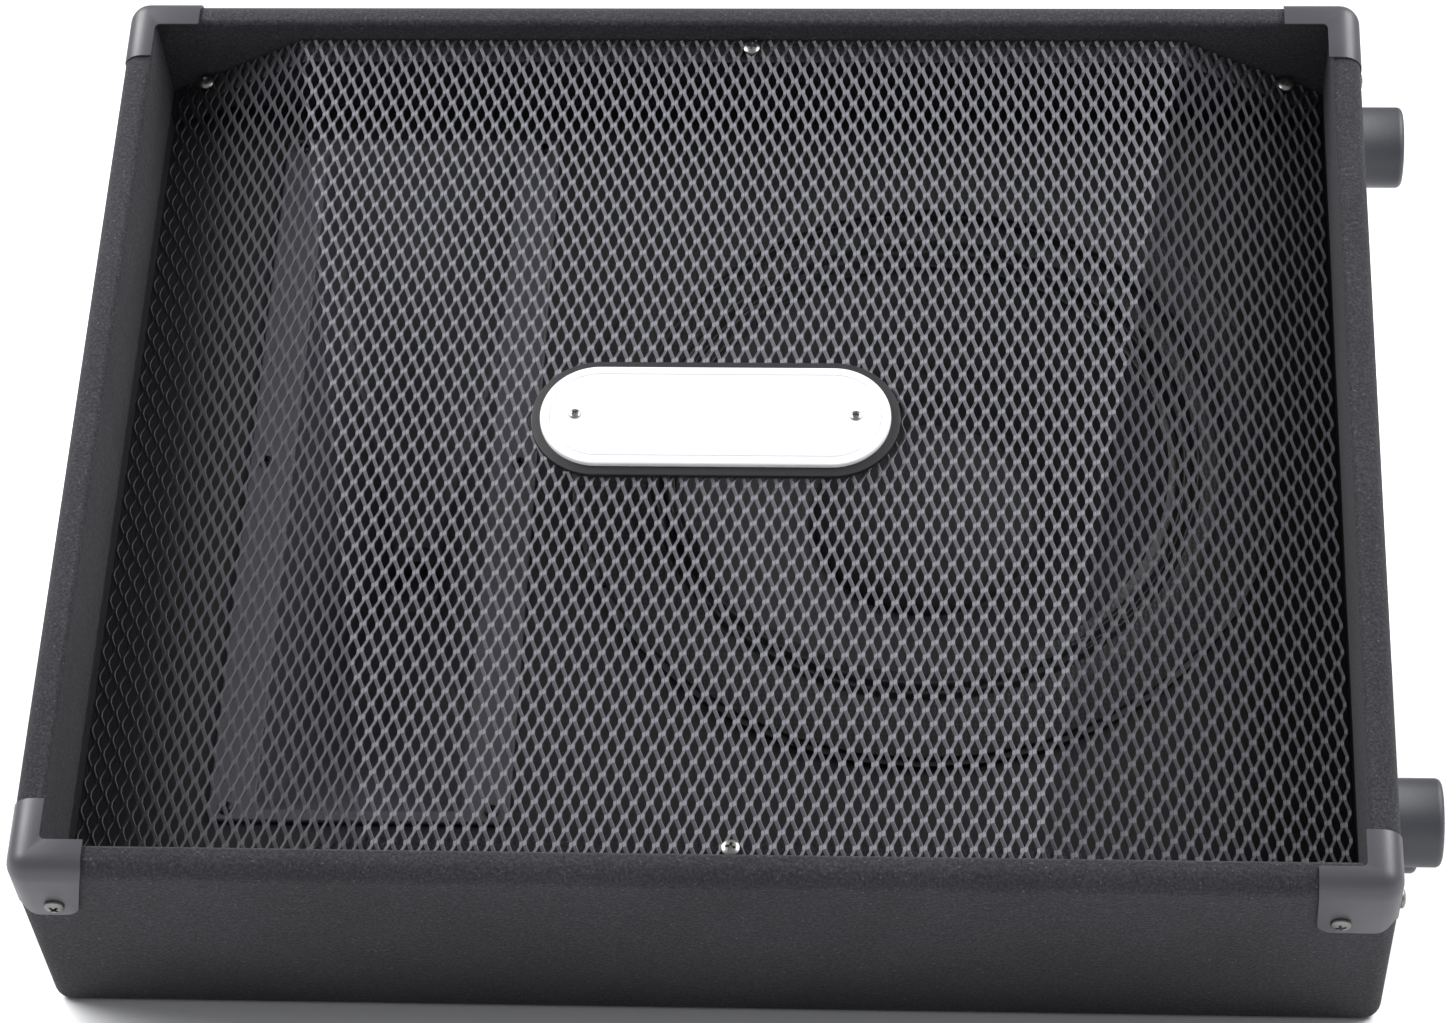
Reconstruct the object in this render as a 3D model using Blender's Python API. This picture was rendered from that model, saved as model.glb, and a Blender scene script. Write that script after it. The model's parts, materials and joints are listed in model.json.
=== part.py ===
"""Stage monitor wedge: a two-way floor monitor with a 15 inch woofer and a tall rectangular horn.

Metres, +Z up, +Y towards the back, +X towards the side with the standing feet.
The origin is the centre of the floor panel's underside.
The slope frame has its origin on the front rim edge: X along the width, Y up the slope, Z out of the grille.
"""

import bpy
import bmesh
from math import atan2, cos, hypot, pi, radians, sin, tan
from mathutils import Matrix, Vector

# Driving dimensions of the cabinet
WIDTH = 0.690
SLOPE_LENGTH = 0.556  # rim to rim up the slope
LIP = 0.144  # front and rear lip panels, square to the slope
SLOPE_ANGLE = radians(35.0)
PANEL = 0.016  # board and its carpet
CORNER_RADIUS = 0.010
FACE_RADIUS = 0.0095  # rounding between a side panel's face and its outline
GAP = 0.0003  # between touching pieces

# Recess, baffle and grille, measured inwards from the rim plane
BAFFLE_DEPTH = 0.075
BAFFLE_THICKNESS = 0.016
GRILLE_DEPTH = 0.0140  # flat middle of the grille
GRILLE_END_DEPTH = 0.0580
GRILLE_THICKNESS = 0.0015
GRILLE_EDGE_CLEARANCE = 0.001
GRILLE_END_INSET = 0.022  # from the cabinet's side face
CREASE_INSET_REAR = 0.097  # crease to the cabinet's side face, at the rear edge
CREASE_INSET_FRONT = 0.178
CLEAT_WIDTH = 0.015
CLEAT_DEPTH = 0.018

# Woofer, around its own axis, measured from the baffle's face
WOOFER_X = 0.107
WOOFER_UP_SLOPE = 0.297
WOOFER_RADIUS = 0.192
WOOFER_CUTOUT_RADIUS = 0.177
RING_HEIGHT = 0.0040  # top of the frame's mounting ring
RING_INNER_RADIUS = 0.163
LEDGE_INNER_RADIUS = 0.152  # ledge that the surround is glued to
LEDGE_DEPTH = 0.0020
CONE_RADIUS = 0.1357
CONE_EDGE_DEPTH = 0.004
CONE_DEPTH = 0.084
PAPER = 0.0012
DUST_CAP_RADIUS = 0.062
DUST_CAP_RISE = 0.019
COIL_RADIUS = 0.0323
COIL_TOP = -0.084
COIL_BOTTOM = -0.138
SHELF_RADIUS = 0.110  # shelf in the basket that the spider is glued to
SHELF_DEPTH = 0.097
SEAT_DEPTH = 0.119  # bottom of the basket, which the motor is bolted to
BASKET_STEEL = 0.003
TOP_PLATE_THICKNESS = 0.008
MAGNET_THICKNESS = 0.020
BACK_PLATE_THICKNESS = 0.010
ROLL_HEIGHT = 0.0045
ROLLS = 2
SPIDER_WAVES = 4
SPIDER_WAVE_HEIGHT = 0.0022

# Horn and compression driver
HORN_X = -0.1825
HORN_UP_SLOPE = 0.291
HORN_WIDTH = 0.157
HORN_HEIGHT = 0.444
HORN_MOUTH_WIDTH = 0.120
HORN_MOUTH_HEIGHT = 0.428
HORN_WALL = 0.003
THROAT_RADIUS = 0.0127
THROAT_DEPTH = 0.118
THROAT_FLANGE_RADIUS = 0.036
DRIVER_RADIUS = 0.055
FRONT_PLATE_THICKNESS = 0.009
DRIVER_MAGNET_THICKNESS = 0.015
REAR_PLATE_THICKNESS = 0.006
DIAPHRAGM_RADIUS = 0.033
DIAPHRAGM_THICKNESS = 0.0003
DOME_RADIUS = 0.0225
DOME_HEIGHT = 0.007
COVER_DEPTH = 0.030

# Standing feet, corner protectors, badge
FOOT_RADIUS = 0.023
FOOT_HEIGHT = 0.026
GUARD_REACH = 0.038  # arm length along each rim
GUARD_FLAP = 0.045  # flap length down the side and the lip
GUARD_THICKNESS = 0.002
BADGE_X = -0.003
BADGE_UP_SLOPE = 0.281
BADGE_LENGTH = 0.186
BADGE_HEIGHT = 0.062

# Pocket handle in the left side, input plate and crossover at the back
HANDLE_Y = 0.085
HANDLE_Z = 0.155
HANDLE_LENGTH = 0.160
HANDLE_HEIGHT = 0.100
POCKET_LENGTH = 0.130
POCKET_HEIGHT = 0.072
POCKET_DEPTH = 0.045
FLANGE_THICKNESS = 0.0035
BAR_DEPTH = 0.022  # grip bar, from the side face inwards
BAR_HEIGHT = 0.024
BAR_RISE = 0.014  # of the bar's centre above the pocket's
PLATE_X = -0.150
PLATE_Z = 0.165
PLATE_LENGTH = 0.160
PLATE_HEIGHT = 0.100
PLATE_THICKNESS = 0.002
SOCKET_DEPTH = 0.022
CROSSOVER_X = 0.100
CROSSOVER_Y = 0.125

ROUND = 36  # sides of a large round piece
MEDIUM_ROUND = 24
SMALL_ROUND = 16
ARC_STEPS = 4  # segments of a rounded corner

RIM_Y = -SLOPE_LENGTH * cos(SLOPE_ANGLE) / 2 - LIP * sin(SLOPE_ANGLE)
RIM_Z = LIP * cos(SLOPE_ANGLE)
BACK_Y = SLOPE_LENGTH * cos(SLOPE_ANGLE) / 2
INNER_HALF = WIDTH / 2 - PANEL  # inner face of a side panel


def clear_scene():
    for obj in list(bpy.data.objects):
        bpy.data.objects.remove(obj, do_unlink=True)


def material(name, colour, roughness, metallic=0.0):
    made = bpy.data.materials.new(name)
    made.use_nodes = True
    shader = made.node_tree.nodes["Principled BSDF"]
    shader.inputs["Base Color"].default_value = (*colour, 1.0)
    shader.inputs["Roughness"].default_value = roughness
    shader.inputs["Metallic"].default_value = metallic
    made.diffuse_color = (*colour, 1.0)
    return made


def make_materials():
    return {
        "carpet": material("carpeted_board", (0.046, 0.046, 0.052), 0.95),
        "board": material("black_painted_board", (0.012, 0.012, 0.013), 0.75),
        "grille": material("powder_coated_steel", (0.19, 0.19, 0.21), 0.45, 0.3),
        "guard": material("grey_moulded_plastic", (0.115, 0.115, 0.130), 0.42),
        "foot": material("black_rubber", (0.060, 0.063, 0.072), 0.55),
        "chrome": material("zinc_plated_steel", (0.62, 0.61, 0.60), 0.28, 1.0),
        "badge": material("white_enamel", (0.80, 0.80, 0.83), 0.30),
        "badge_back": material("black_moulded_plastic", (0.020, 0.020, 0.022), 0.50),
        "frame": material("black_stamped_steel", (0.030, 0.030, 0.033), 0.45, 0.5),
        "paper": material("pulp_paper", (0.022, 0.022, 0.024), 0.85),
        "cloth": material("doped_cloth", (0.020, 0.019, 0.019), 0.60),
        "spider": material("phenolic_cloth", (0.36, 0.24, 0.10), 0.85),
        "plated": material("zinc_plated_plate", (0.50, 0.48, 0.42), 0.35, 1.0),
        "ferrite": material("ferrite", (0.040, 0.040, 0.043), 0.60),
        "copper": material("copper_wire", (0.60, 0.25, 0.12), 0.35, 1.0),
        "horn": material("grey_horn_plastic", (0.060, 0.060, 0.068), 0.45),
        "titanium": material("titanium_foil", (0.55, 0.53, 0.50), 0.35, 1.0),
        "laminate": material("glass_epoxy_board", (0.030, 0.100, 0.045), 0.50),
        "capacitor": material("film_capacitor_wrap", (0.42, 0.30, 0.05), 0.40),
        "resistor": material("ceramic_resistor", (0.70, 0.68, 0.62), 0.80),
        "plate": material("black_powder_coated_plate", (0.018, 0.018, 0.019), 0.50, 0.3),
        "handle": material("black_handle_plastic", (0.018, 0.018, 0.020), 0.50),
    }


def empty(name, location, angle=0.0, parent=None):
    made = bpy.data.objects.new(name, None)
    bpy.context.collection.objects.link(made)
    made.parent = parent
    made.location = location
    made.rotation_euler = (angle, 0.0, 0.0)
    return made


def node(name, mesh_builder, finish, parent=None, location=(0.0, 0.0, 0.0), smooth=False):
    """One object from a bmesh, under its parent, with its own copy of the finish."""
    mesh = bpy.data.meshes.new(name)
    bmesh.ops.recalc_face_normals(mesh_builder, faces=mesh_builder.faces)
    mesh_builder.to_mesh(mesh)
    mesh_builder.free()
    own = finish.copy()
    own.name = f"{name}_{finish.name}"
    mesh.materials.append(own)
    if smooth:
        mesh.shade_smooth()
        mesh.set_sharp_from_angle(angle=radians(35.0))
    obj = bpy.data.objects.new(name, mesh)
    bpy.context.collection.objects.link(obj)
    obj.parent = parent
    obj.location = location
    return obj


def boolean(obj, helper, operation="DIFFERENCE"):
    """A live Boolean with a helper that never renders."""
    helper.hide_render = True
    helper.display_type = "WIRE"
    modifier = obj.modifiers.new(f"{operation.lower()}_{helper.name}", "BOOLEAN")
    modifier.operation = operation
    modifier.solver = "EXACT"
    modifier.object = helper
    return modifier


def box(low, high):
    made = bmesh.new()
    bmesh.ops.create_cube(made, size=1.0)
    size = Vector(high) - Vector(low)
    middle = (Vector(high) + Vector(low)) / 2
    matrix = Matrix.Translation(middle) @ Matrix.Diagonal((*size, 1.0))
    bmesh.ops.transform(made, matrix=matrix, verts=made.verts)
    return made


def prism(outline, low, high, place):
    """An outline of (a, b) points extruded from low to high; place(a, b, c) gives each point."""
    made = bmesh.new()
    start = [made.verts.new(place(a, b, low)) for a, b in outline]
    face = made.faces.new(start)
    grown = bmesh.ops.extrude_face_region(made, geom=[face])
    shift = Vector(place(0.0, 0.0, high)) - Vector(place(0.0, 0.0, low))
    moved = [item for item in grown["geom"] if isinstance(item, bmesh.types.BMVert)]
    bmesh.ops.translate(made, vec=shift, verts=moved)
    return made


def along_x(a, b, c):
    return (c, a, b)


def along_y(a, b, c):
    return (a, c, b)


def along_z(a, b, c):
    return (a, b, c)


def turned(profile, sides=ROUND):
    """A closed (radius, height) profile spun round Z; points on the axis become poles."""
    made = bmesh.new()
    points = [made.verts.new((r, 0.0, z)) for r, z in profile]
    edges = [made.edges.new((points[i], points[(i + 1) % len(points)])) for i in range(len(points))]
    edges = [edge for edge in edges if max(v.co.x for v in edge.verts) > 1e-7]
    bmesh.ops.spin(
        made, geom=points + edges, cent=(0, 0, 0), axis=(0, 0, 1), angle=2 * pi, steps=sides, use_merge=True
    )
    bmesh.ops.remove_doubles(made, verts=made.verts, dist=1e-6)
    loose = [edge for edge in made.edges if not edge.link_faces]
    bmesh.ops.delete(made, geom=loose, context="EDGES")
    return made


def cylinder(radius, low, high, sides=SMALL_ROUND):
    return turned([(0.0, low), (radius, low), (radius, high), (0.0, high)], sides)


def moved(made, offset, turn=None):
    matrix = Matrix.Translation(offset)
    if turn is not None:
        matrix = matrix @ turn
    bmesh.ops.transform(made, matrix=matrix, verts=made.verts)
    return made


def joined(*parts):
    """Several bmeshes as one, for a cutter with separate bodies."""
    whole = bmesh.new()
    for part in parts:
        mesh = bpy.data.meshes.new("joined_part")
        bmesh.ops.recalc_face_normals(part, faces=part.faces)
        part.to_mesh(mesh)
        part.free()
        whole.from_mesh(mesh)
        bpy.data.meshes.remove(mesh)
    return whole


def arc(centre, radius, start, end, steps=ARC_STEPS):
    angles = [start + (end - start) * i / steps for i in range(steps + 1)]
    return [(centre[0] + radius * cos(a), centre[1] + radius * sin(a)) for a in angles]


def rounded_rectangle(width, height, radius, steps=ARC_STEPS):
    outline = []
    for quarter, (sign_a, sign_b) in enumerate(((1, 1), (-1, 1), (-1, -1), (1, -1))):
        centre = (sign_a * (width / 2 - radius), sign_b * (height / 2 - radius))
        start = quarter * pi / 2
        outline += arc(centre, radius, start, start + pi / 2, steps)
    return outline


# The cabinet's outline in the YZ plane, anticlockwise seen from +X


def slope_point(up, out):
    """World (y, z) of a point given up the slope and out of the rim plane."""
    return (
        RIM_Y + up * cos(SLOPE_ANGLE) - out * sin(SLOPE_ANGLE),
        RIM_Z + up * sin(SLOPE_ANGLE) + out * cos(SLOPE_ANGLE),
    )


FLOOR_FRONT, FLOOR_BACK = (-BACK_Y, 0.0), (BACK_Y, 0.0)
LIP_BACK = slope_point(SLOPE_LENGTH, -LIP)
RIM_BACK, RIM_FRONT = slope_point(SLOPE_LENGTH, 0.0), slope_point(0.0, 0.0)
OUTLINE = [FLOOR_FRONT, FLOOR_BACK, LIP_BACK, RIM_BACK, RIM_FRONT]


def direction(start, end):
    length = hypot(end[0] - start[0], end[1] - start[1])
    return ((end[0] - start[0]) / length, (end[1] - start[1]) / length)


def corner(index, inset):
    """The outline's corner moved inwards by inset from both of its edges."""
    here = OUTLINE[index]
    before = direction(OUTLINE[index - 1], here)
    after = direction(here, OUTLINE[(index + 1) % len(OUTLINE)])
    cross = before[0] * after[1] - before[1] * after[0]
    scale = inset / cross
    return (here[0] + (after[0] - before[0]) * scale, here[1] + (after[1] - before[1]) * scale)


def corner_angles(index):
    """Directions in which the outline's rounded corner starts and ends, seen from its centre."""
    before = direction(OUTLINE[index - 1], OUTLINE[index])
    after = direction(OUTLINE[index], OUTLINE[(index + 1) % len(OUTLINE)])
    start = atan2(-before[0], before[1])
    end = atan2(-after[0], after[1])
    return start, end if end > start else end + 2 * pi


def corner_arc(index, inset=0.0, first=0.0, last=1.0):
    start, end = corner_angles(index)
    span = end - start
    return arc(corner(index, CORNER_RADIUS), CORNER_RADIUS - inset, start + span * first, start + span * last)


def mitre(index, side):
    """Inner and outer points of one side of a mitred joint; side is +1 past the corner, -1 before it."""
    start, end = corner_angles(index)
    middle = (start + end) / 2
    centre = corner(index, CORNER_RADIUS)
    shift = GAP / 2 / CORNER_RADIUS * side
    turn = (middle + shift, end) if side > 0 else (start, middle + shift)
    outer = arc(centre, CORNER_RADIUS, *turn, steps=2)
    inner = corner(index, PANEL)
    after = direction(OUTLINE[index - 1], OUTLINE[index]) if side < 0 else direction(
        OUTLINE[index], OUTLINE[(index + 1) % len(OUTLINE)]
    )
    slide = side * GAP / 2 / sin((pi - (end - start)) / 2)
    return outer, (inner[0] + after[0] * slide, inner[1] + after[1] * slide)


def mitred_board(first, second):
    """A board between two mitred corners."""
    outer_a, inner_a = mitre(first, 1)
    outer_b, inner_b = mitre(second, -1)
    return outer_a + outer_b + [inner_b, inner_a]


def build_cabinet(finish):
    """Five boards, two sides and the baffle, carpeted outside."""
    half = INNER_HALF - GAP
    floor = mitred_board(0, 1)
    back = mitred_board(1, 2)
    outer, inner = mitre(2, 1)
    rear_lip = outer + corner_arc(3) + [slope_point(SLOPE_LENGTH - PANEL, 0.0), inner]
    outer, inner = mitre(0, -1)
    front = [inner, slope_point(PANEL, 0.0)] + corner_arc(4) + outer
    node("floor_panel", prism(floor, -half, half, along_x), finish["carpet"])
    back_panel = node("back_panel", prism(back, -half, half, along_x), finish["carpet"])
    node("rear_lip_panel", prism(rear_lip, -half, half, along_x), finish["carpet"])
    node("front_panel", prism(front, -half, half, along_x), finish["carpet"])
    window = rounded_rectangle(PLATE_LENGTH - 0.030, PLATE_HEIGHT - 0.030, 0.008, 2)
    cutter = prism(window, BACK_Y - 2 * PANEL, BACK_Y + PANEL, along_y)
    place = (PLATE_X, 0.0, PLATE_Z)
    boolean(back_panel, node("input_window_cutter", cutter, finish["board"], None, place))
    for name, sign in (("side_panel_left", -1), ("side_panel_right", 1)):
        side = node(name, side_panel(sign), finish["carpet"], smooth=True)
        if sign < 0:
            pocket = rounded_rectangle(POCKET_LENGTH + 0.008, POCKET_HEIGHT + 0.008, 0.010, 2)
            cutter = prism(pocket, -WIDTH / 2 - PANEL, -WIDTH / 2 + 2 * PANEL, along_x)
            place = (0.0, HANDLE_Y, HANDLE_Z)
            boolean(side, node("handle_window_cutter", cutter, finish["board"], location=place))


def side_panel(sign):
    """Loops of the rounded outline from the flat outer face round to the straight inner part."""
    made = bmesh.new()
    stations = []
    for step in range(ARC_STEPS):
        angle = pi / 2 * step / (ARC_STEPS - 1)
        stations.append((WIDTH / 2 - FACE_RADIUS * (1 - cos(angle)), FACE_RADIUS * (1 - sin(angle))))
    stations = [(x, inset) for x, inset in stations] + [(INNER_HALF, 0.0)]
    loops = []
    for x, inset in stations:
        ring = [point for index in range(len(OUTLINE)) for point in corner_arc(index, inset)]
        loops.append([made.verts.new((sign * x, y, z)) for y, z in ring])
    for first, second in zip(loops, loops[1:]):
        for i in range(len(first)):
            j = (i + 1) % len(first)
            made.faces.new((first[i], first[j], second[j], second[i]))
    made.faces.new(loops[0])
    made.faces.new(loops[-1])
    return made


def build_baffle(finish, slope):
    low = (-INNER_HALF + GAP, PANEL + GAP, -BAFFLE_DEPTH - BAFFLE_THICKNESS)
    high = (INNER_HALF - GAP, SLOPE_LENGTH - PANEL - GAP, -BAFFLE_DEPTH)
    baffle = node("baffle", box(low, high), finish["board"], slope)
    place = (WOOFER_X, WOOFER_UP_SLOPE, -BAFFLE_DEPTH)
    hole = cylinder(WOOFER_CUTOUT_RADIUS, -2 * BAFFLE_THICKNESS, BAFFLE_THICKNESS, ROUND)
    boolean(baffle, node("woofer_hole_cutter", hole, finish["board"], slope, place))
    window = rounded_rectangle(HORN_WIDTH - 0.022, HORN_HEIGHT - 0.008, 0.006, 2)
    hole = prism(window, -2 * BAFFLE_THICKNESS, BAFFLE_THICKNESS, along_z)
    place = (HORN_X, HORN_UP_SLOPE, -BAFFLE_DEPTH)
    boolean(baffle, node("horn_hole_cutter", hole, finish["board"], slope, place))


def crease_x(up):
    """Half width of the grille's flat middle, which narrows towards the front."""
    share = (up - PANEL) / (SLOPE_LENGTH - 2 * PANEL)
    return WIDTH / 2 - CREASE_INSET_FRONT + (CREASE_INSET_FRONT - CREASE_INSET_REAR) * share


def grille_out(x, up):
    """Height of the grille's top face above the rim plane, which is negative."""
    end = WIDTH / 2 - GRILLE_END_INSET
    share = max(0.0, (abs(x) - crease_x(up)) / (end - crease_x(up)))
    return -GRILLE_DEPTH - (GRILLE_END_DEPTH - GRILLE_DEPTH) * share


def build_grille(finish, slope):
    """Steel sheet with a flat middle and two ends bent down along slanting creases."""
    made = bmesh.new()
    steps = 8
    front, rear = PANEL + GRILLE_EDGE_CLEARANCE, SLOPE_LENGTH - PANEL - GRILLE_EDGE_CLEARANCE
    end = WIDTH / 2 - GRILLE_END_INSET
    layers = []
    for drop in (0.0, GRILLE_THICKNESS):
        rows = []
        for step in range(steps + 1):
            up = front + (rear - front) * step / steps
            columns = (-end, -crease_x(up), crease_x(up), end)
            rows.append([made.verts.new((x, up, grille_out(x, up) - drop)) for x in columns])
        layers.append(rows)
    for rows in layers:
        for row, following in zip(rows, rows[1:]):
            for i in range(3):
                made.faces.new((row[i], row[i + 1], following[i + 1], following[i]))
    rims = []
    for rows in layers:
        right_side = [row[-1] for row in rows[1:]]
        left_side = [row[0] for row in rows[-2:0:-1]]
        rims.append(rows[0] + right_side + rows[-1][-2::-1] + left_side)
    for i in range(len(rims[0])):
        j = (i + 1) % len(rims[0])
        made.faces.new((rims[0][i], rims[0][j], rims[1][j], rims[1][i]))
    bmesh.ops.triangulate(made, faces=made.faces)
    grille = node("grille", made, finish["grille"], slope)
    holes = [moved(cylinder(0.0024, -0.03, 0.03, 12), place) for place in grille_screw_places()]
    boolean(grille, node("grille_hole_cutter", joined(*holes), finish["grille"], slope))


def cleat_outline(up_low, up_high):
    """Top edge of a cleat, just under the grille over the cleat's whole width."""
    end = INNER_HALF - 2 * GAP
    inner = min(crease_x(up_low), crease_x(up_high))
    under = GRILLE_THICKNESS + 3 * GAP
    top = []
    for x in (-end, -inner, inner, end):
        top.append((x, min(grille_out(x, up_low), grille_out(x, up_high)) - under))
    bottom = [(x, out - CLEAT_DEPTH) for x, out in reversed(top)]
    floor = -BAFFLE_DEPTH + GAP
    return top + [(x, max(out, floor)) for x, out in bottom]


def build_cleats(finish, slope):
    """Battens on the lips that the grille is screwed to."""
    rear_low = SLOPE_LENGTH - PANEL - CLEAT_WIDTH
    for name, low in (("grille_cleat_front", PANEL), ("grille_cleat_rear", rear_low)):
        start, stop = low + GAP, low + CLEAT_WIDTH - GAP
        cleat = node(name, prism(cleat_outline(start, stop), start, stop, along_y), finish["board"], slope)
        near = [place for place in grille_screw_places() if abs(place[1] - low) < 2 * CLEAT_WIDTH]
        holes = [moved(cylinder(0.0021, -0.0175, 0.02, 12), place) for place in near]
        boolean(cleat, node(f"{name}_hole_cutter", joined(*holes), finish["board"], slope))


def grille_screw_places():
    """Two screws in the middle of the long edges and one near each corner."""
    front, rear = PANEL + 0.009, SLOPE_LENGTH - PANEL - 0.007
    corner_inset = 0.038
    places = []
    for up, middle in ((front, 0.015), (rear, 0.007)):
        for x in (-WIDTH / 2 + corner_inset, middle, WIDTH / 2 - corner_inset):
            places.append((x, up, grille_out(x, up)))
    return places


def screw_profile(head, head_height, shank, length):
    """A pan head and a plain shank, head up, with its seat at height zero."""
    return [
        (0.0, -length),
        (shank, -length),
        (shank, 0.0),
        (head, 0.0),
        (head, head_height * 0.45),
        (head * 0.75, head_height * 0.88),
        (head * 0.35, head_height),
        (0.0, head_height),
    ]


def build_grille_screws(finish, slope):
    for index, (x, up, out) in enumerate(grille_screw_places()):
        body = turned(screw_profile(0.0048, 0.0026, 0.0017, 0.014), 10)
        tilt = atan2(grille_out(x - 0.002, up) - grille_out(x + 0.002, up), 0.004)
        # The head clears the sloping sheet on its higher side.
        lift = GAP + 0.0048 * abs(tan(tilt))
        node(f"grille_screw_{index + 1}", body, finish["chrome"], slope, (x, up, out + lift), smooth=True)


def build_badge(finish, slope):
    place = (BADGE_X, BADGE_UP_SLOPE, -GRILLE_DEPTH + GAP)
    grow = 0.010
    back = rounded_rectangle(BADGE_LENGTH + grow, BADGE_HEIGHT + grow, (BADGE_HEIGHT + grow) / 2 - 0.0001, 6)
    node("badge_backing", prism(back, 0.0, 0.0025, along_z), finish["badge_back"], slope, place)
    face = rounded_rectangle(BADGE_LENGTH, BADGE_HEIGHT, BADGE_HEIGHT / 2 - 0.0001, 6)
    plate = prism(face, 0.0025 + GAP, 0.0055, along_z)
    badge = node("badge_plate", plate, finish["badge"], slope, place)
    bevel = badge.modifiers.new("soft_edge", "BEVEL")
    bevel.width = 0.0010
    bevel.segments = 2
    bevel.limit_method = "ANGLE"
    bevel.angle_limit = radians(60.0)


def guard_region(reach, flap, depth, flat):
    """The L of one flap and its arm: a slab with its free lower corner rounded."""
    radius = 0.010
    rounded = arc((reach - radius, -flap + radius), radius, -pi / 2, 0.0)
    outline = [(-0.01, 0.01), (-0.01, -flap), *rounded, (reach, 0.01)]
    place = (lambda a, b, c: (a, c, b)) if flat == "front" else (lambda a, b, c: (c, a, b))
    return prism(outline, -0.01, depth, place)


def rounded_block(low, high, radius):
    """A block whose edges are all rounded, by a bevel on its bmesh."""
    made = box(low, high)
    geometry = made.edges[:] + made.verts[:]
    bmesh.ops.bevel(made, geom=geometry, offset=radius, segments=ARC_STEPS, profile=0.5, affect="EDGES")
    return made


def build_guards(finish, slope):
    """Four moulded corner protectors; each wraps the rim, the side and the lip."""
    depth = 0.25
    for name, x_sign, up_sign in (
        ("corner_guard_front_left", -1, 1),
        ("corner_guard_front_right", 1, 1),
        ("corner_guard_rear_left", -1, -1),
        ("corner_guard_rear_right", 1, -1),
    ):
        thick = GUARD_THICKNESS
        # Built at the corner x = 0, up = 0 of a block that reaches inwards, then mirrored into place.
        skin = rounded_block((-thick, -thick, -depth), (depth, depth, thick), CORNER_RADIUS + thick)
        inside = rounded_block((-GAP, -GAP, -depth - 0.01), (depth, depth, GAP), CORNER_RADIUS)
        front = guard_region(GUARD_REACH, GUARD_FLAP, PANEL + 0.001, "front")
        side = guard_region(GUARD_REACH, GUARD_FLAP, PANEL + 0.001, "side")
        flip = Matrix.Diagonal((-x_sign, up_sign, 1.0, 1.0))
        for shape in (skin, inside, front, side):
            bmesh.ops.transform(shape, matrix=flip, verts=shape.verts)
        place = (x_sign * WIDTH / 2, 0.0 if up_sign > 0 else SLOPE_LENGTH, 0.0)
        guard = node(name, skin, finish["guard"], slope, place, smooth=True)
        boolean(guard, node(f"{name}_inside_cutter", inside, finish["guard"], slope, place))
        region = node(f"{name}_front_region", front, finish["guard"], slope, place)
        boolean(region, node(f"{name}_side_region", side, finish["guard"], slope, place), "UNION")
        boolean(guard, region, "INTERSECT")


def build_feet(finish, slope):
    """Four turned rubber feet on the right side, for standing the cabinet on its end."""
    edge = 0.003
    profile = [
        (0.0, GAP),
        (FOOT_RADIUS, GAP),
        (FOOT_RADIUS, FOOT_HEIGHT - edge),
        (FOOT_RADIUS - edge * 0.3, FOOT_HEIGHT - edge * 0.3),
        (FOOT_RADIUS - edge, FOOT_HEIGHT),
        (0.0085, FOOT_HEIGHT),
        (0.0085, FOOT_HEIGHT - 0.012),
        (0.0, FOOT_HEIGHT - 0.012),
    ]
    rim_out = -0.060
    places = (
        slope_point(0.070, rim_out),
        slope_point(SLOPE_LENGTH - 0.056, rim_out),
        (BACK_Y - 0.052, 0.055),
        (-0.110, 0.050),
    )
    lay = Matrix.Rotation(pi / 2, 4, "Y")
    for index, (y, z) in enumerate(places):
        foot = moved(turned(profile, MEDIUM_ROUND), (0, 0, 0), lay)
        node(f"side_foot_{index + 1}", foot, finish["foot"], None, (WIDTH / 2, y, z), smooth=True)


def sheet_profile(points, thickness):
    """A thin ring section from a centre line of (radius, height) points."""
    upper = [(r, z + thickness / 2) for r, z in points]
    lower = [(r, z - thickness / 2) for r, z in reversed(points)]
    return upper + lower


def ring_profile(inner, outer, low, high):
    return [(inner, low), (outer, low), (outer, high), (inner, high)]


def wave(start, end, height, count, steps, first, last):
    """Points of a corrugation between two radii, on a level that goes from first to last."""
    made = []
    for i in range(steps + 1):
        share = i / steps
        level = first + (last - first) * share
        made.append((start + (end - start) * share, level + height * (1 - cos(2 * pi * count * share)) / 2))
    return made


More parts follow.
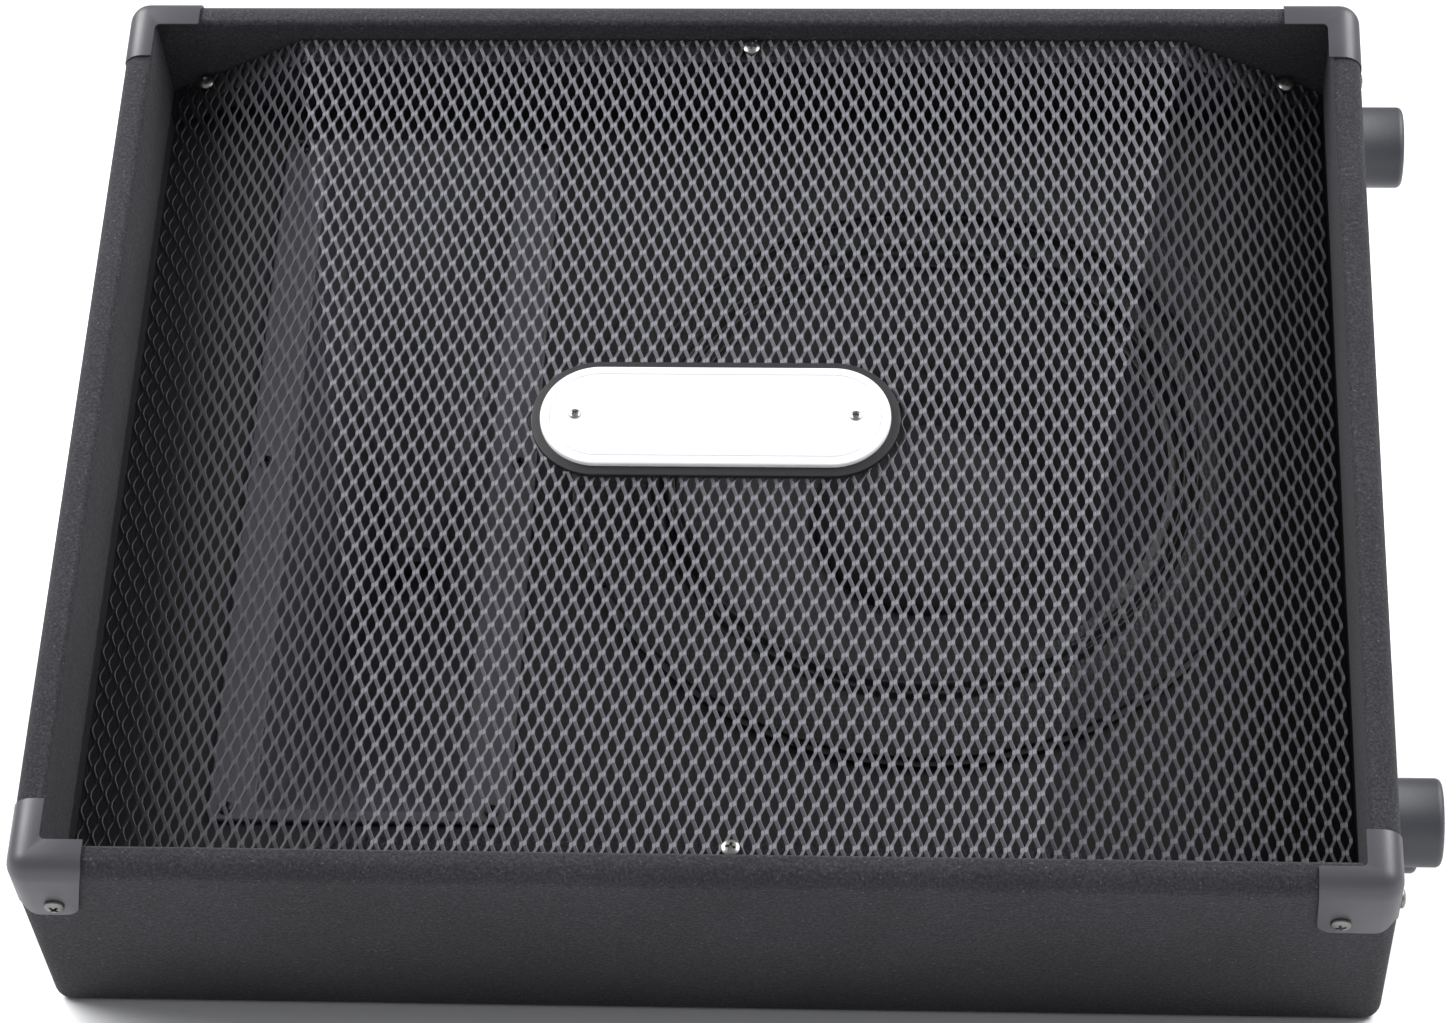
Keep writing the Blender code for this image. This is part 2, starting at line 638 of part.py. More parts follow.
def build_woofer(finish, woofer):
    """Basket, gasket, surround, cone, dust cap, voice coil, spider and the three motor pieces."""
    frame_profile = [
        (WOOFER_RADIUS, GAP),
        (WOOFER_RADIUS, RING_HEIGHT),
        (RING_INNER_RADIUS, RING_HEIGHT),
        (RING_INNER_RADIUS, -LEDGE_DEPTH),
        (LEDGE_INNER_RADIUS, -LEDGE_DEPTH),
        (LEDGE_INNER_RADIUS, -LEDGE_DEPTH - 0.0025),
        (0.1660, -LEDGE_DEPTH - BASKET_STEEL),
        (0.1685, -0.0245),
        (SHELF_RADIUS, -SHELF_DEPTH),
        (0.0920, -SHELF_DEPTH),
        (0.0890, -SEAT_DEPTH),
        (0.0500, -SEAT_DEPTH),
        (0.0500, -SEAT_DEPTH - BASKET_STEEL),
        (0.0920, -SEAT_DEPTH - BASKET_STEEL),
        (0.0950, -SHELF_DEPTH - BASKET_STEEL),
        (SHELF_RADIUS + 0.002, -SHELF_DEPTH - BASKET_STEEL),
        (0.1720, -0.0260),
        (0.1750, GAP),
    ]
    frame = node("woofer_frame", turned(frame_profile), finish["frame"], woofer, smooth=True)
    legs = 6
    windows = []
    for index in range(legs):
        window = rounded_rectangle(0.100, 0.054, 0.008, 2)
        slot = prism(window, 0.105, 0.20, lambda a, b, c: (c, a, b - 0.062))
        windows.append(moved(slot, (0, 0, 0), Matrix.Rotation(2 * pi / legs * index, 4, "Z")))
    boolean(frame, node("basket_window_cutter", joined(*windows), finish["frame"], woofer))
    low = RING_HEIGHT + GAP
    gasket = ring_profile(RING_INNER_RADIUS + 0.001, WOOFER_RADIUS - 0.003, low, low + 0.0035)
    node("woofer_gasket", turned(gasket), finish["cloth"], woofer, smooth=True)
    glued = GAP + 0.0005 - LEDGE_DEPTH
    rolls = wave(CONE_RADIUS + 0.0005, 0.1505, ROLL_HEIGHT, ROLLS, 8, -0.0050, glued)
    surround = sheet_profile(rolls + [(RING_INNER_RADIUS - 0.0005, glued)], 0.0008)
    node("woofer_surround", turned(surround), finish["cloth"], woofer, smooth=True)
    node("woofer_cone", turned(cone_profile()), finish["paper"], woofer, smooth=True)
    node("woofer_dust_cap", turned(dust_cap_profile(), MEDIUM_ROUND), finish["paper"], woofer, smooth=True)
    build_woofer_motor(finish, woofer)


def build_woofer_motor(finish, woofer):
    former, winding = 0.001, 0.0019
    coil = [
        (COIL_RADIUS, COIL_TOP),
        (COIL_RADIUS + former, COIL_TOP),
        (COIL_RADIUS + former, COIL_BOTTOM + 0.018),
        (COIL_RADIUS + winding, COIL_BOTTOM + 0.018),
        (COIL_RADIUS + winding, COIL_BOTTOM + 0.002),
        (COIL_RADIUS + former, COIL_BOTTOM + 0.002),
        (COIL_RADIUS + former, COIL_BOTTOM),
        (COIL_RADIUS, COIL_BOTTOM),
    ]
    node("woofer_voice_coil", turned(coil, MEDIUM_ROUND), finish["copper"], woofer, smooth=True)
    level = -SHELF_DEPTH + GAP + 0.0005
    folds = wave(0.040, 0.088, SPIDER_WAVE_HEIGHT, SPIDER_WAVES, 12, level, level)
    spider = sheet_profile([(COIL_RADIUS + 0.0016, level)] + folds + [(SHELF_RADIUS - 0.002, level)], 0.0006)
    node("woofer_spider", turned(spider, MEDIUM_ROUND), finish["spider"], woofer, smooth=True)
    plate_high = -SEAT_DEPTH - BASKET_STEEL - GAP
    magnet_high = plate_high - TOP_PLATE_THICKNESS - GAP
    back_high = magnet_high - MAGNET_THICKNESS - GAP
    back_low = back_high - BACK_PLATE_THICKNESS
    plate = ring_profile(COIL_RADIUS + 0.0032, 0.066, magnet_high + GAP, plate_high)
    node("woofer_top_plate", turned(plate, MEDIUM_ROUND), finish["plated"], woofer, smooth=True)
    magnet = ring_profile(0.042, 0.078, back_high + GAP, magnet_high)
    node("woofer_magnet", turned(magnet, MEDIUM_ROUND), finish["ferrite"], woofer, smooth=True)
    vent, pole, plate_radius = 0.012, COIL_RADIUS - 0.0018, 0.064
    back_plate = [
        (vent, plate_high),
        (pole, plate_high),
        (pole, back_high),
        (plate_radius, back_high),
        (plate_radius, back_low),
        (vent, back_low),
    ]
    node("woofer_back_plate", turned(back_plate, MEDIUM_ROUND), finish["plated"], woofer, smooth=True)


def cone_height(radius):
    """Height of the cone's upper face: a slightly curved paper cone."""
    neck = COIL_RADIUS + 0.0014
    share = (radius - neck) / (CONE_RADIUS - neck)
    return -CONE_EDGE_DEPTH - CONE_DEPTH * (1 - share) ** 1.15


def cone_profile():
    neck = COIL_RADIUS + 0.0014
    radii = [neck + (CONE_RADIUS - neck) * i / 4 for i in range(5)]
    return [(r, cone_height(r)) for r in radii] + [(r, cone_height(r) - PAPER) for r in reversed(radii)]


def dust_cap_profile():
    """A dome glued to the cone, with its rim just above the paper."""
    level = cone_height(DUST_CAP_RADIUS) + 2 * GAP
    steps = 5
    outer = []
    for i in range(steps + 1):
        angle = pi / 2 * i / steps
        outer.append((DUST_CAP_RADIUS * sin(angle), level + PAPER + DUST_CAP_RISE * cos(angle)))
    inner = [(r * (1 - PAPER / DUST_CAP_RADIUS), z - PAPER) for r, z in reversed(outer)]
    return outer + inner


def horn_section(half_width, half_height, corner_radius, depth, count=8):
    """A rounded rectangle of a fixed number of points at one depth of the horn."""
    radius = min(corner_radius, half_width, half_height)
    outline = []
    for quarter in range(4):
        start = quarter * pi / 2
        sign_x = 1 if quarter in (0, 3) else -1
        sign_y = 1 if quarter in (0, 1) else -1
        centre = (sign_x * (half_width - radius), sign_y * (half_height - radius))
        outline += arc(centre, radius, start, start + pi / 2, count - 1)
    return [(a, b, depth) for a, b in outline]


def build_horn(finish, horn):
    """Mouth, diffraction slot and round throat in one moulding, with a flat flange."""
    mouth_w, mouth_h = HORN_MOUTH_WIDTH / 2, HORN_MOUTH_HEIGHT / 2
    flange = 0.0033
    inner = [
        (mouth_w, mouth_h, 0.006, flange),
        (mouth_w - 0.006, mouth_h - 0.003, 0.006, -0.016),
        (mouth_w - 0.022, mouth_h - 0.007, 0.006, -0.038),
        (0.0155, mouth_h - 0.014, 0.006, -0.060),
        (0.0140, 0.110, 0.010, -0.082),
        (0.0130, 0.045, 0.012, -0.104),
        (THROAT_RADIUS, THROAT_RADIUS, THROAT_RADIUS, -THROAT_DEPTH),
    ]
    outer = [
        (HORN_WIDTH / 2, HORN_HEIGHT / 2, 0.005, flange),
        (HORN_WIDTH / 2, HORN_HEIGHT / 2, 0.005, GAP),
        (mouth_w + HORN_WALL - 0.001, mouth_h + 0.0015, 0.008, GAP),
    ]
    for half_width, half_height, radius, depth in inner[1:-1]:
        outer.append((half_width + HORN_WALL, half_height + HORN_WALL, radius + HORN_WALL, depth - 0.001))
    flange_front = -THROAT_DEPTH + 0.006
    outer.append((THROAT_RADIUS + 0.006, THROAT_RADIUS + 0.006, 1.0, flange_front))
    outer.append((THROAT_FLANGE_RADIUS, THROAT_FLANGE_RADIUS, 1.0, flange_front - 0.0005))
    outer.append((THROAT_FLANGE_RADIUS, THROAT_FLANGE_RADIUS, 1.0, -THROAT_DEPTH))
    made = bmesh.new()
    loops = [[made.verts.new(p) for p in horn_section(*row)] for row in outer]
    loops += [[made.verts.new(p) for p in horn_section(*row)] for row in reversed(inner)]
    for first, second in zip(loops, loops[1:] + loops[:1]):
        for i in range(len(first)):
            j = (i + 1) % len(first)
            made.faces.new((first[i], first[j], second[j], second[i]))
    bmesh.ops.triangulate(made, faces=made.faces)
    node("horn", made, finish["horn"], horn, smooth=True)


def build_driver(finish, horn):
    """Compression driver behind the throat: plates, magnet, pole, phase plug, diaphragm and cover."""
    front_high = -THROAT_DEPTH - GAP
    magnet_high = front_high - FRONT_PLATE_THICKNESS - GAP
    rear_high = magnet_high - DRIVER_MAGNET_THICKNESS - GAP
    rear_low = rear_high - REAR_PLATE_THICKNESS
    plate_radius = DRIVER_RADIUS - 0.005
    pole = [(0.0152, magnet_high), (0.0235, magnet_high), (0.0235, rear_low), (0.0200, rear_low)]
    front_plate = ring_profile(THROAT_RADIUS + 0.0005, plate_radius, magnet_high + GAP, front_high)
    rings = (
        ("front_plate", "plated", front_plate),
        ("magnet", "ferrite", ring_profile(0.030, DRIVER_RADIUS, rear_high + GAP, magnet_high)),
        ("rear_plate", "plated", ring_profile(0.0255, plate_radius, rear_low, rear_high)),
        ("pole", "plated", pole),
    )
    for name, look, profile in rings:
        node(f"driver_{name}", turned(profile, MEDIUM_ROUND), finish[look], horn, smooth=True)
    plug = [(0.0, magnet_high + 0.0016), (0.0135, magnet_high), (0.0180, rear_low), (0.0, rear_low)]
    node("driver_phase_plug", turned(plug, SMALL_ROUND), finish["badge_back"], horn, smooth=True)
    rest = rear_low - 0.0007  # the diaphragm's foil clears the rear plate over its whole travel
    steps = 4
    lower = []
    for i in range(steps + 1):
        angle = pi / 2 * i / steps
        lower.append((DOME_RADIUS * sin(angle), rest - DOME_HEIGHT * cos(angle)))
    lower.append((DIAPHRAGM_RADIUS, rest))
    upper = [(r, z + DIAPHRAGM_THICKNESS) for r, z in reversed(lower)]
    node("driver_diaphragm", turned(lower + upper, MEDIUM_ROUND), finish["titanium"], horn, smooth=True)
    cover_rim, cover_back, wall = rear_low - GAP, rear_low - COVER_DEPTH, 0.003
    cover = [
        (0.0460, cover_rim),
        (0.0470, cover_back + 0.007),
        (0.0440, cover_back + 0.002),
        (0.0, cover_back),
        (0.0, cover_back + wall),
        (0.0420, cover_back + 0.002 + wall),
        (0.0430, cover_rim),
    ]
    node("driver_back_cover", turned(cover, MEDIUM_ROUND), finish["badge_back"], horn, smooth=True)


def build_crossover(finish):
    """Board on four posts on the floor, with two coils, two capacitors and a resistor."""
    floor = PANEL + GAP
    half_x, half_y, thick, post = 0.080, 0.048, 0.0016, 0.008
    base = floor + post
    board = node(
        "crossover_board",
        box((-half_x, -half_y, base), (half_x, half_y, base + thick)),
        finish["laminate"],
        location=(CROSSOVER_X, CROSSOVER_Y, 0.0),
    )
    posts = []
    for x in (-half_x + 0.008, half_x - 0.008):
        for y in (-half_y + 0.008, half_y - 0.008):
            posts.append(moved(cylinder(0.004, floor, base + thick / 2, 12), (x, y, 0.0)))
    posts = node("board_post_union", joined(*posts), finish["laminate"], None, board.location)
    boolean(board, posts, "UNION")
    top = base + thick + GAP
    for index, (x, y, outer) in enumerate(((-0.050, 0.005, 0.024), (0.012, 0.018, 0.019))):
        bobbin = [(0.009, 0.0), (outer, 0.0), (outer, 0.024), (0.009, 0.024)]
        place = (CROSSOVER_X + x, CROSSOVER_Y + y, top)
        coil = turned(bobbin, SMALL_ROUND)
        node(f"crossover_inductor_{index + 1}", coil, finish["copper"], None, place, smooth=True)
    lay = Matrix.Rotation(pi / 2, 4, "Y")
    for index, (x, y, radius) in enumerate(((0.055, 0.022, 0.011), (0.055, -0.008, 0.009))):
        body = moved(cylinder(radius, -0.018, 0.018), (0, 0, 0), lay)
        place = (CROSSOVER_X + x, CROSSOVER_Y + y, top + radius)
        node(f"crossover_capacitor_{index + 1}", body, finish["capacitor"], None, place, smooth=True)
    block = box((-0.024, -0.005, 0.0), (0.024, 0.005, 0.010))
    place = (CROSSOVER_X + 0.020, CROSSOVER_Y - 0.034, top)
    node("crossover_resistor", block, finish["resistor"], None, place)


def build_input(finish):
    """Connector plate over a window in the back panel, with two phone sockets and one twist-lock socket."""
    front = BACK_Y + GAP
    outline = rounded_rectangle(PLATE_LENGTH, PLATE_HEIGHT, 0.006)
    place = (PLATE_X, 0.0, PLATE_Z)
    sheet = prism(outline, front, front + PLATE_THICKNESS, along_y)
    plate = node("input_plate", sheet, finish["plate"], None, place)
    lay = Matrix.Rotation(-pi / 2, 4, "X")
    holes = []
    # Name, offset along the plate, and radii of the barrel, the bore and the flange
    for name, x, barrel, bore, flange in (
        ("phone_socket_1", 0.045, 0.0068, 0.00325, 0.0093),
        ("phone_socket_2", 0.005, 0.0068, 0.00325, 0.0093),
        ("twist_lock_socket", -0.042, 0.0125, 0.0100, 0.0165),
    ):
        holes.append(moved(cylinder(barrel, front - 0.01, front + 0.01), (x, 0, 0), lay))
        rise = PLATE_THICKNESS + 2 * GAP
        shell = [
            (bore, rise + 0.0035),
            (flange, rise + 0.0025),
            (flange, rise),
            (barrel - GAP, rise),
            (barrel - GAP, -SOCKET_DEPTH - 0.004),
            (0.0, -SOCKET_DEPTH - 0.004),
            (0.0, -SOCKET_DEPTH),
            (bore, -SOCKET_DEPTH),
        ]
        body = moved(turned(shell, SMALL_ROUND), (0, 0, 0), lay)
        node(name, body, finish["badge_back"], None, (PLATE_X + x, front, PLATE_Z), smooth=True)
    boolean(plate, node("socket_hole_cutter", joined(*holes), finish["plate"], None, place))


def build_handle(finish):
    """One moulding in the left side: a flange, a pocket and a grip bar across the pocket's mouth."""
    outer, wall = -WIDTH / 2, 0.003
    place = (0.0, HANDLE_Y, HANDLE_Z)
    flange = rounded_rectangle(HANDLE_LENGTH, HANDLE_HEIGHT, 0.014)
    flange = prism(flange, outer - FLANGE_THICKNESS, outer - GAP, along_x)
    handle = node("pocket_handle", flange, finish["handle"], None, place)
    tub = rounded_rectangle(POCKET_LENGTH + 2 * wall, POCKET_HEIGHT + 2 * wall, 0.010)
    tub = prism(tub, outer - 0.002, outer + POCKET_DEPTH + wall, along_x)
    boolean(handle, node("pocket_tub_union", tub, finish["handle"], None, place), "UNION")
    hollow = rounded_rectangle(POCKET_LENGTH, POCKET_HEIGHT, 0.008)
    hollow = prism(hollow, outer - 0.02, outer + POCKET_DEPTH, along_x)
    boolean(handle, node("pocket_hollow_cutter", hollow, finish["handle"], None, place))
    bar = rounded_rectangle(BAR_DEPTH, BAR_HEIGHT, 0.009)
    half = POCKET_LENGTH / 2 + 0.001
    bar = prism(bar, -half, half, lambda a, b, c: (a, c, b))
    bar = moved(bar, (outer + BAR_DEPTH / 2 - 0.0005, 0.0, BAR_RISE))
    boolean(handle, node("grip_bar_union", bar, finish["handle"], None, place), "UNION")


def main():
    clear_scene()
    finish = make_materials()
    slope = empty("slope_frame", (0.0, RIM_Y, RIM_Z), SLOPE_ANGLE)
    woofer = empty("woofer_axis", (WOOFER_X, WOOFER_UP_SLOPE, -BAFFLE_DEPTH), parent=slope)
    horn = empty("horn_axis", (HORN_X, HORN_UP_SLOPE, -BAFFLE_DEPTH), parent=slope)
    build_cabinet(finish)
    build_baffle(finish, slope)
    build_cleats(finish, slope)
    build_grille(finish, slope)
    build_grille_screws(finish, slope)
    build_badge(finish, slope)
    build_guards(finish, slope)
    build_feet(finish, slope)
    build_woofer(finish, woofer)
    build_horn(finish, horn)
    build_driver(finish, horn)
    build_crossover(finish)
    build_input(finish)
    build_handle(finish)


main()
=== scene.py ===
"""Stage monitor wedge: the visible pieces and their materials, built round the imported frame.

Metres, +Z up, +Y towards the back. Places on the sloping front are given as (x, up, out):
across the width, up the slope from the front rim edge, and out of the rim plane.
"""

import json
from math import atan2, cos, pi, radians, sin

import bmesh
import bpy
from mathutils import Matrix, Vector


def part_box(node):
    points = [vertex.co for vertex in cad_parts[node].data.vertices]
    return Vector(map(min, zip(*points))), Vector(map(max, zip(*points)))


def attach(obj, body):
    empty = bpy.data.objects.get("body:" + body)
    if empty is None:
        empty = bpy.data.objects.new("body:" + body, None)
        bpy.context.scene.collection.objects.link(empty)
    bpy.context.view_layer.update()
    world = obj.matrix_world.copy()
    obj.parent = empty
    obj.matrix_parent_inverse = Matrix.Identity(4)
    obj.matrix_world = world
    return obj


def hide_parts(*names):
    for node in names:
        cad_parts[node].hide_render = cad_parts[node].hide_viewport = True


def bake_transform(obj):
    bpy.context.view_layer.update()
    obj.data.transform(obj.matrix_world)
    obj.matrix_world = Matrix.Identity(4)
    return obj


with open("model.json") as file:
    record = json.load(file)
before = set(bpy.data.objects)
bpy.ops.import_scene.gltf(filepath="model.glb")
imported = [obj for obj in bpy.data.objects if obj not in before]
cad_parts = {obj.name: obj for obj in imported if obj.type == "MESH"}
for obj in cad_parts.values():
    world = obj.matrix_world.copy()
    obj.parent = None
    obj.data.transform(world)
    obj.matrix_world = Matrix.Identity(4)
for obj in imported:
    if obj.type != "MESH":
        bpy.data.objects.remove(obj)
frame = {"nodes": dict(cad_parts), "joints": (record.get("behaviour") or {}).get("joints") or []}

bl_info = {
    "name": "Stage Monitor Wedge",
    "version": (1, 0, 0),
    "blender": (4, 5, 0),
    "location": "View3D > Sidebar > Wedge",
    "description": "Builds a carpeted floor monitor wedge with its mesh grille, woofer, horn and hardware",
    "category": "Object",
}

CABINET, CONE = "cabinet", "cone_assembly"
AXIS = Vector(next(joint["axis"] for joint in frame["joints"] if joint["name"] == "cone_travel"))
SLOPE_ANGLE = atan2(-AXIS.y, AXIS.z)
LEFT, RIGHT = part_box("side_panel_left")[0].x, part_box("side_panel_right")[1].x
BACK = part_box("back_panel")[1].y
SLOPE_LENGTH = 2 * BACK / cos(SLOPE_ANGLE)
INNER_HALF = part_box("side_panel_right")[0].x
PANEL = RIGHT - INNER_HALF
TOUCH = 0.0003  # gap between pieces that touch
KNUCKLE = 0.0026  # length of the bond between two strands
FRONT_CREASE, REAR_CREASE = 0.178, 0.097  # from the cabinet's side to the grille's crease
NOISE, WAVE, RAMP = "ShaderNodeTexNoise", "ShaderNodeTexWave", "ShaderNodeValToRGB"
BUMP, MATH, RANGE, MIX = "ShaderNodeBump", "ShaderNodeMath", "ShaderNodeMapRange", "ShaderNodeMix"



# Shared helpers


def linear(hex_colour):
    """An sRGB hex colour as linear red, green, blue and alpha."""
    channels = [int(hex_colour[i:i + 2], 16) / 255 for i in (1, 3, 5)]
    return (*[c / 12.92 if c <= 0.04045 else ((c + 0.055) / 1.055) ** 2.4 for c in channels], 1.0)


def feed(node, inputs):
    """Sets each input to its value, or links it to a socket or to a node's first live output."""
    for name, value in inputs.items():
        if isinstance(value, bpy.types.Node):
            value = next(socket for socket in value.outputs if socket.enabled)
        if isinstance(value, bpy.types.NodeSocket):
            node.id_data.links.new(value, node.inputs[name])
        else:
            node.inputs[name].default_value = value


def add(tree, kind, inputs=None, stops=(), **settings):
    """A node with its settings and inputs, and the (place, hex colour) stops of a colour ramp."""
    made = tree.nodes.new(kind)
    for name, value in settings.items():
        setattr(made, name, value)
    feed(made, inputs or {})
    if stops:
        elements = made.color_ramp.elements
        while len(elements) < len(stops):
            elements.new(0.5)
        for element, (place, colour) in zip(elements, stops):
            element.position, element.color = place, linear(colour)
    return made


def new_material(name):
    """A material with its node tree, its shader and a socket of Object coordinates in metres."""
    made = bpy.data.materials.new(name)
    made.use_nodes = True
    tree = made.node_tree
    shader = tree.nodes["Principled BSDF"]
    return made, tree, shader, add(tree, "ShaderNodeTexCoord").outputs["Object"]


def sizes():
    return bpy.context.scene.wedge_sizes


def slope_matrix():
    """Turns (x, up, out) into world metres."""
    lip = sizes().lip
    rim_y = -BACK - lip * sin(SLOPE_ANGLE)
    rim_z = lip * cos(SLOPE_ANGLE)
    return Matrix.Translation((0.0, rim_y, rim_z)) @ Matrix.Rotation(SLOPE_ANGLE, 4, "X")


def box_of_slope(node):
    """Lowest and highest (x, up, out) of a CAD node."""
    back = slope_matrix().inverted()
    points = [back @ vertex.co for vertex in frame["nodes"][node].data.vertices]
    low = Vector([min(p[i] for p in points) for i in range(3)])
    high = Vector([max(p[i] for p in points) for i in range(3)])
    return low, high


def driver_matrix(node):
    """Places things round the middle of a driver, out from the baffle's face."""
    middle = sum(box_of_slope(node), Vector()) / 2
    return slope_matrix() @ Matrix.Translation((middle.x, middle.y, -sizes().baffle_depth))


def as_object(name, made):
    """An unlinked bmesh becomes a linked object at the origin."""
    mesh = bpy.data.meshes.new(name)
    made.to_mesh(mesh)
    made.free()
    obj = bpy.data.objects.new(name, mesh)
    bpy.context.scene.collection.objects.link(obj)
    return obj


def baked(obj):
    """The object's evaluated mesh replaces its mesh, and its modifiers go."""
    bpy.context.view_layer.update()
    graph = bpy.context.evaluated_depsgraph_get()
    mesh = bpy.data.meshes.new_from_object(obj.evaluated_get(graph), depsgraph=graph)
    obj.modifiers.clear()
    obj.data = mesh
    return obj


def cut(obj, *helpers, operation="DIFFERENCE"):
    """Exact Booleans with helpers that are then removed."""
    for helper in helpers:
        modifier = obj.modifiers.new(helper.name, "BOOLEAN")
        modifier.operation = operation
        modifier.solver = "EXACT"
        modifier.object = helper
    baked(obj)
    for helper in helpers:
        bpy.data.objects.remove(helper)
    return obj


def shaded(mesh, angle=30.0):
    mesh.shade_smooth()
    mesh.set_sharp_from_angle(angle=radians(angle))


def soften(obj, width, segments=2, angle=40.0):
    """Rounds the edges of a piece and keeps its flat faces flat."""
    bevel = obj.modifiers.new("soft_edges", "BEVEL")
    bevel.width, bevel.segments = width, segments
    bevel.limit_method, bevel.angle_limit = "ANGLE", radians(angle)
    return baked(obj)


def finished(obj, material, replaced=(), matrix=None, smooth=30.0, body=CABINET):
    """Gives a piece its place, material and body, and hides the CAD nodes that it stands for."""
    if matrix is not None:
        obj.data.transform(matrix)
    obj.data.materials.clear()
    obj.data.materials.append(finish(material))
    obj.data.update()
    if smooth:
        shaded(obj.data, smooth)
    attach(obj, body)
    if replaced:
        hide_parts(*replaced)
    return obj


def repaint(material, *nodes):
    """A new material on CAD nodes whose shape is right."""
    for name in nodes:
        mesh = frame["nodes"][name].data
        mesh.materials.clear()
        mesh.materials.append(finish(material))


def ring(made, points):
    return [made.verts.new(p) for p in points]


def bridge(made, first, second):
    count = len(first)
    for i in range(count):
        j = (i + 1) % count
        made.faces.new((first[i], first[j], second[j], second[i]))


def lofted(loops):
    """A skin through loops of equal point counts, with its ends capped."""
    made = bmesh.new()
    rings = [ring(made, loop) for loop in loops]
    for first, second in zip(rings, rings[1:]):
        bridge(made, first, second)
    made.faces.new(rings[0])
    made.faces.new(rings[-1])
    bmesh.ops.recalc_face_normals(made, faces=made.faces)
    return made


def turned(profile, sides):
    """A closed (radius, height) profile turned round Z; points on the axis become poles."""
    made = bmesh.new()
    columns = []
    for step in range(sides):
        angle = 2 * pi * step / sides
        columns.append(ring(made, [(r * cos(angle), r * sin(angle), z) for r, z in profile]))
    for first, second in zip(columns, columns[1:] + columns[:1]):
        bridge(made, first, second)
    bmesh.ops.remove_doubles(made, verts=made.verts, dist=1e-7)
    bmesh.ops.dissolve_degenerate(made, edges=made.edges, dist=1e-7)
    bmesh.ops.recalc_face_normals(made, faces=made.faces)
    return made


def arc(centre, radius, start, end, steps):
    angles = [start + (end - start) * i / steps for i in range(steps + 1)]
    return [(centre[0] + radius * cos(a), centre[1] + radius * sin(a)) for a in angles]


def rounded_rectangle(width, height, radius, steps=6):
    outline = []
    for quarter, (sign_a, sign_b) in enumerate(((1, 1), (-1, 1), (-1, -1), (1, -1))):
        centre = (sign_a * (width / 2 - radius), sign_b * (height / 2 - radius))
        outline += arc(centre, radius, quarter * pi / 2, (quarter + 1) * pi / 2, steps)
    return outline


def slab(outline, low, high, order="xyz"):
    """An outline of (a, b) extruded along c from low to high; order says which axes a, b and c are."""
    def place(a, b, c):
        values = dict(zip(order, (a, b, c)))
        return (values["x"], values["y"], values["z"])
    return lofted([[place(a, b, c) for a, b in outline] for c in (low, high)])


def block(low, high):
    outline = [(low[0], low[1]), (high[0], low[1]), (high[0], high[1]), (low[0], high[1])]
    return slab(outline, low[2], high[2])


def merged_copy(name, node):
    """A CAD node's mesh with its loose triangles merged, as a new object."""
    made = bmesh.new()
    made.from_mesh(frame["nodes"][node].data)
    bmesh.ops.remove_doubles(made, verts=made.verts, dist=1e-6)
    return as_object(name, made)


def run_tree(obj, tree, values):
    """Runs a Geometry Nodes tree on a piece with named inputs, and keeps the plain mesh that it makes."""
    modifier = obj.modifiers.new(tree.name, "NODES")
    modifier.node_group = tree
    for item in tree.interface.items_tree:
        if item.item_type == "SOCKET" and item.in_out == "INPUT" and item.name in values:
            modifier[item.identifier] = values[item.name]
    obj.update_tag()
    return baked(obj)


def new_tree(name, inputs):
    """A Geometry Nodes tree with a geometry input and output and the named inputs."""
    tree = bpy.data.node_groups.new(name, "GeometryNodeTree")
    for label, kind in (("Geometry", "Geometry"), *inputs):
        tree.interface.new_socket(label, in_out="INPUT", socket_type="NodeSocket" + kind)
    tree.interface.new_socket("Geometry", in_out="OUTPUT", socket_type="NodeSocketGeometry")
    return tree, add(tree, "NodeGroupInput").outputs


def end_tree(tree, geometry, material):
    """Gives the real geometry its material and hands it on as the tree's result."""
    painted = add(tree, "GeometryNodeSetMaterial", {"Geometry": geometry, "Material": material})
    add(tree, "NodeGroupOutput", {"Geometry": painted})
    return tree


# Properties


class WedgeSizes(bpy.types.PropertyGroup):
    lip: bpy.props.FloatProperty(
        name="Lip", description="Depth of the front and rear lips, square to the slope",
        default=0.144, unit="LENGTH",
    )
    baffle_depth: bpy.props.FloatProperty(
        name="Baffle depth", description="Rim plane to the baffle's face", default=0.075, unit="LENGTH",
    )
    corner_radius: bpy.props.FloatProperty(
        name="Corner radius", description="Rounding of the carpeted outer edges", default=0.010,
        unit="LENGTH",
    )
    rim_radius: bpy.props.FloatProperty(
        name="Rim radius", description="Rounding of the rim's inner edge", default=0.0035, unit="LENGTH",
    )
    mesh_short_way: bpy.props.FloatProperty(
        name="Mesh short way", description="Pitch of the diamonds across the width", default=0.0083,
        unit="LENGTH",
    )
    mesh_long_way: bpy.props.FloatProperty(
        name="Mesh long way", description="Pitch of the diamonds up the slope", default=0.01585,
        unit="LENGTH",
    )
    strand_width: bpy.props.FloatProperty(
        name="Strand width", description="Width of one strand of the mesh", default=0.0022, unit="LENGTH",
    )
    strand_thickness: bpy.props.FloatProperty(
        name="Strand thickness", description="Thickness of the mesh's steel", default=0.0008, unit="LENGTH",
    )
    strand_tilt: bpy.props.FloatProperty(
        name="Strand tilt", description="Turn of each strand out of the sheet's plane",
        default=radians(30.0), subtype="ANGLE",
    )
    guard_thickness: bpy.props.FloatProperty(
        name="Guard thickness", description="Wall of a corner guard", default=0.0016, unit="LENGTH",
    )


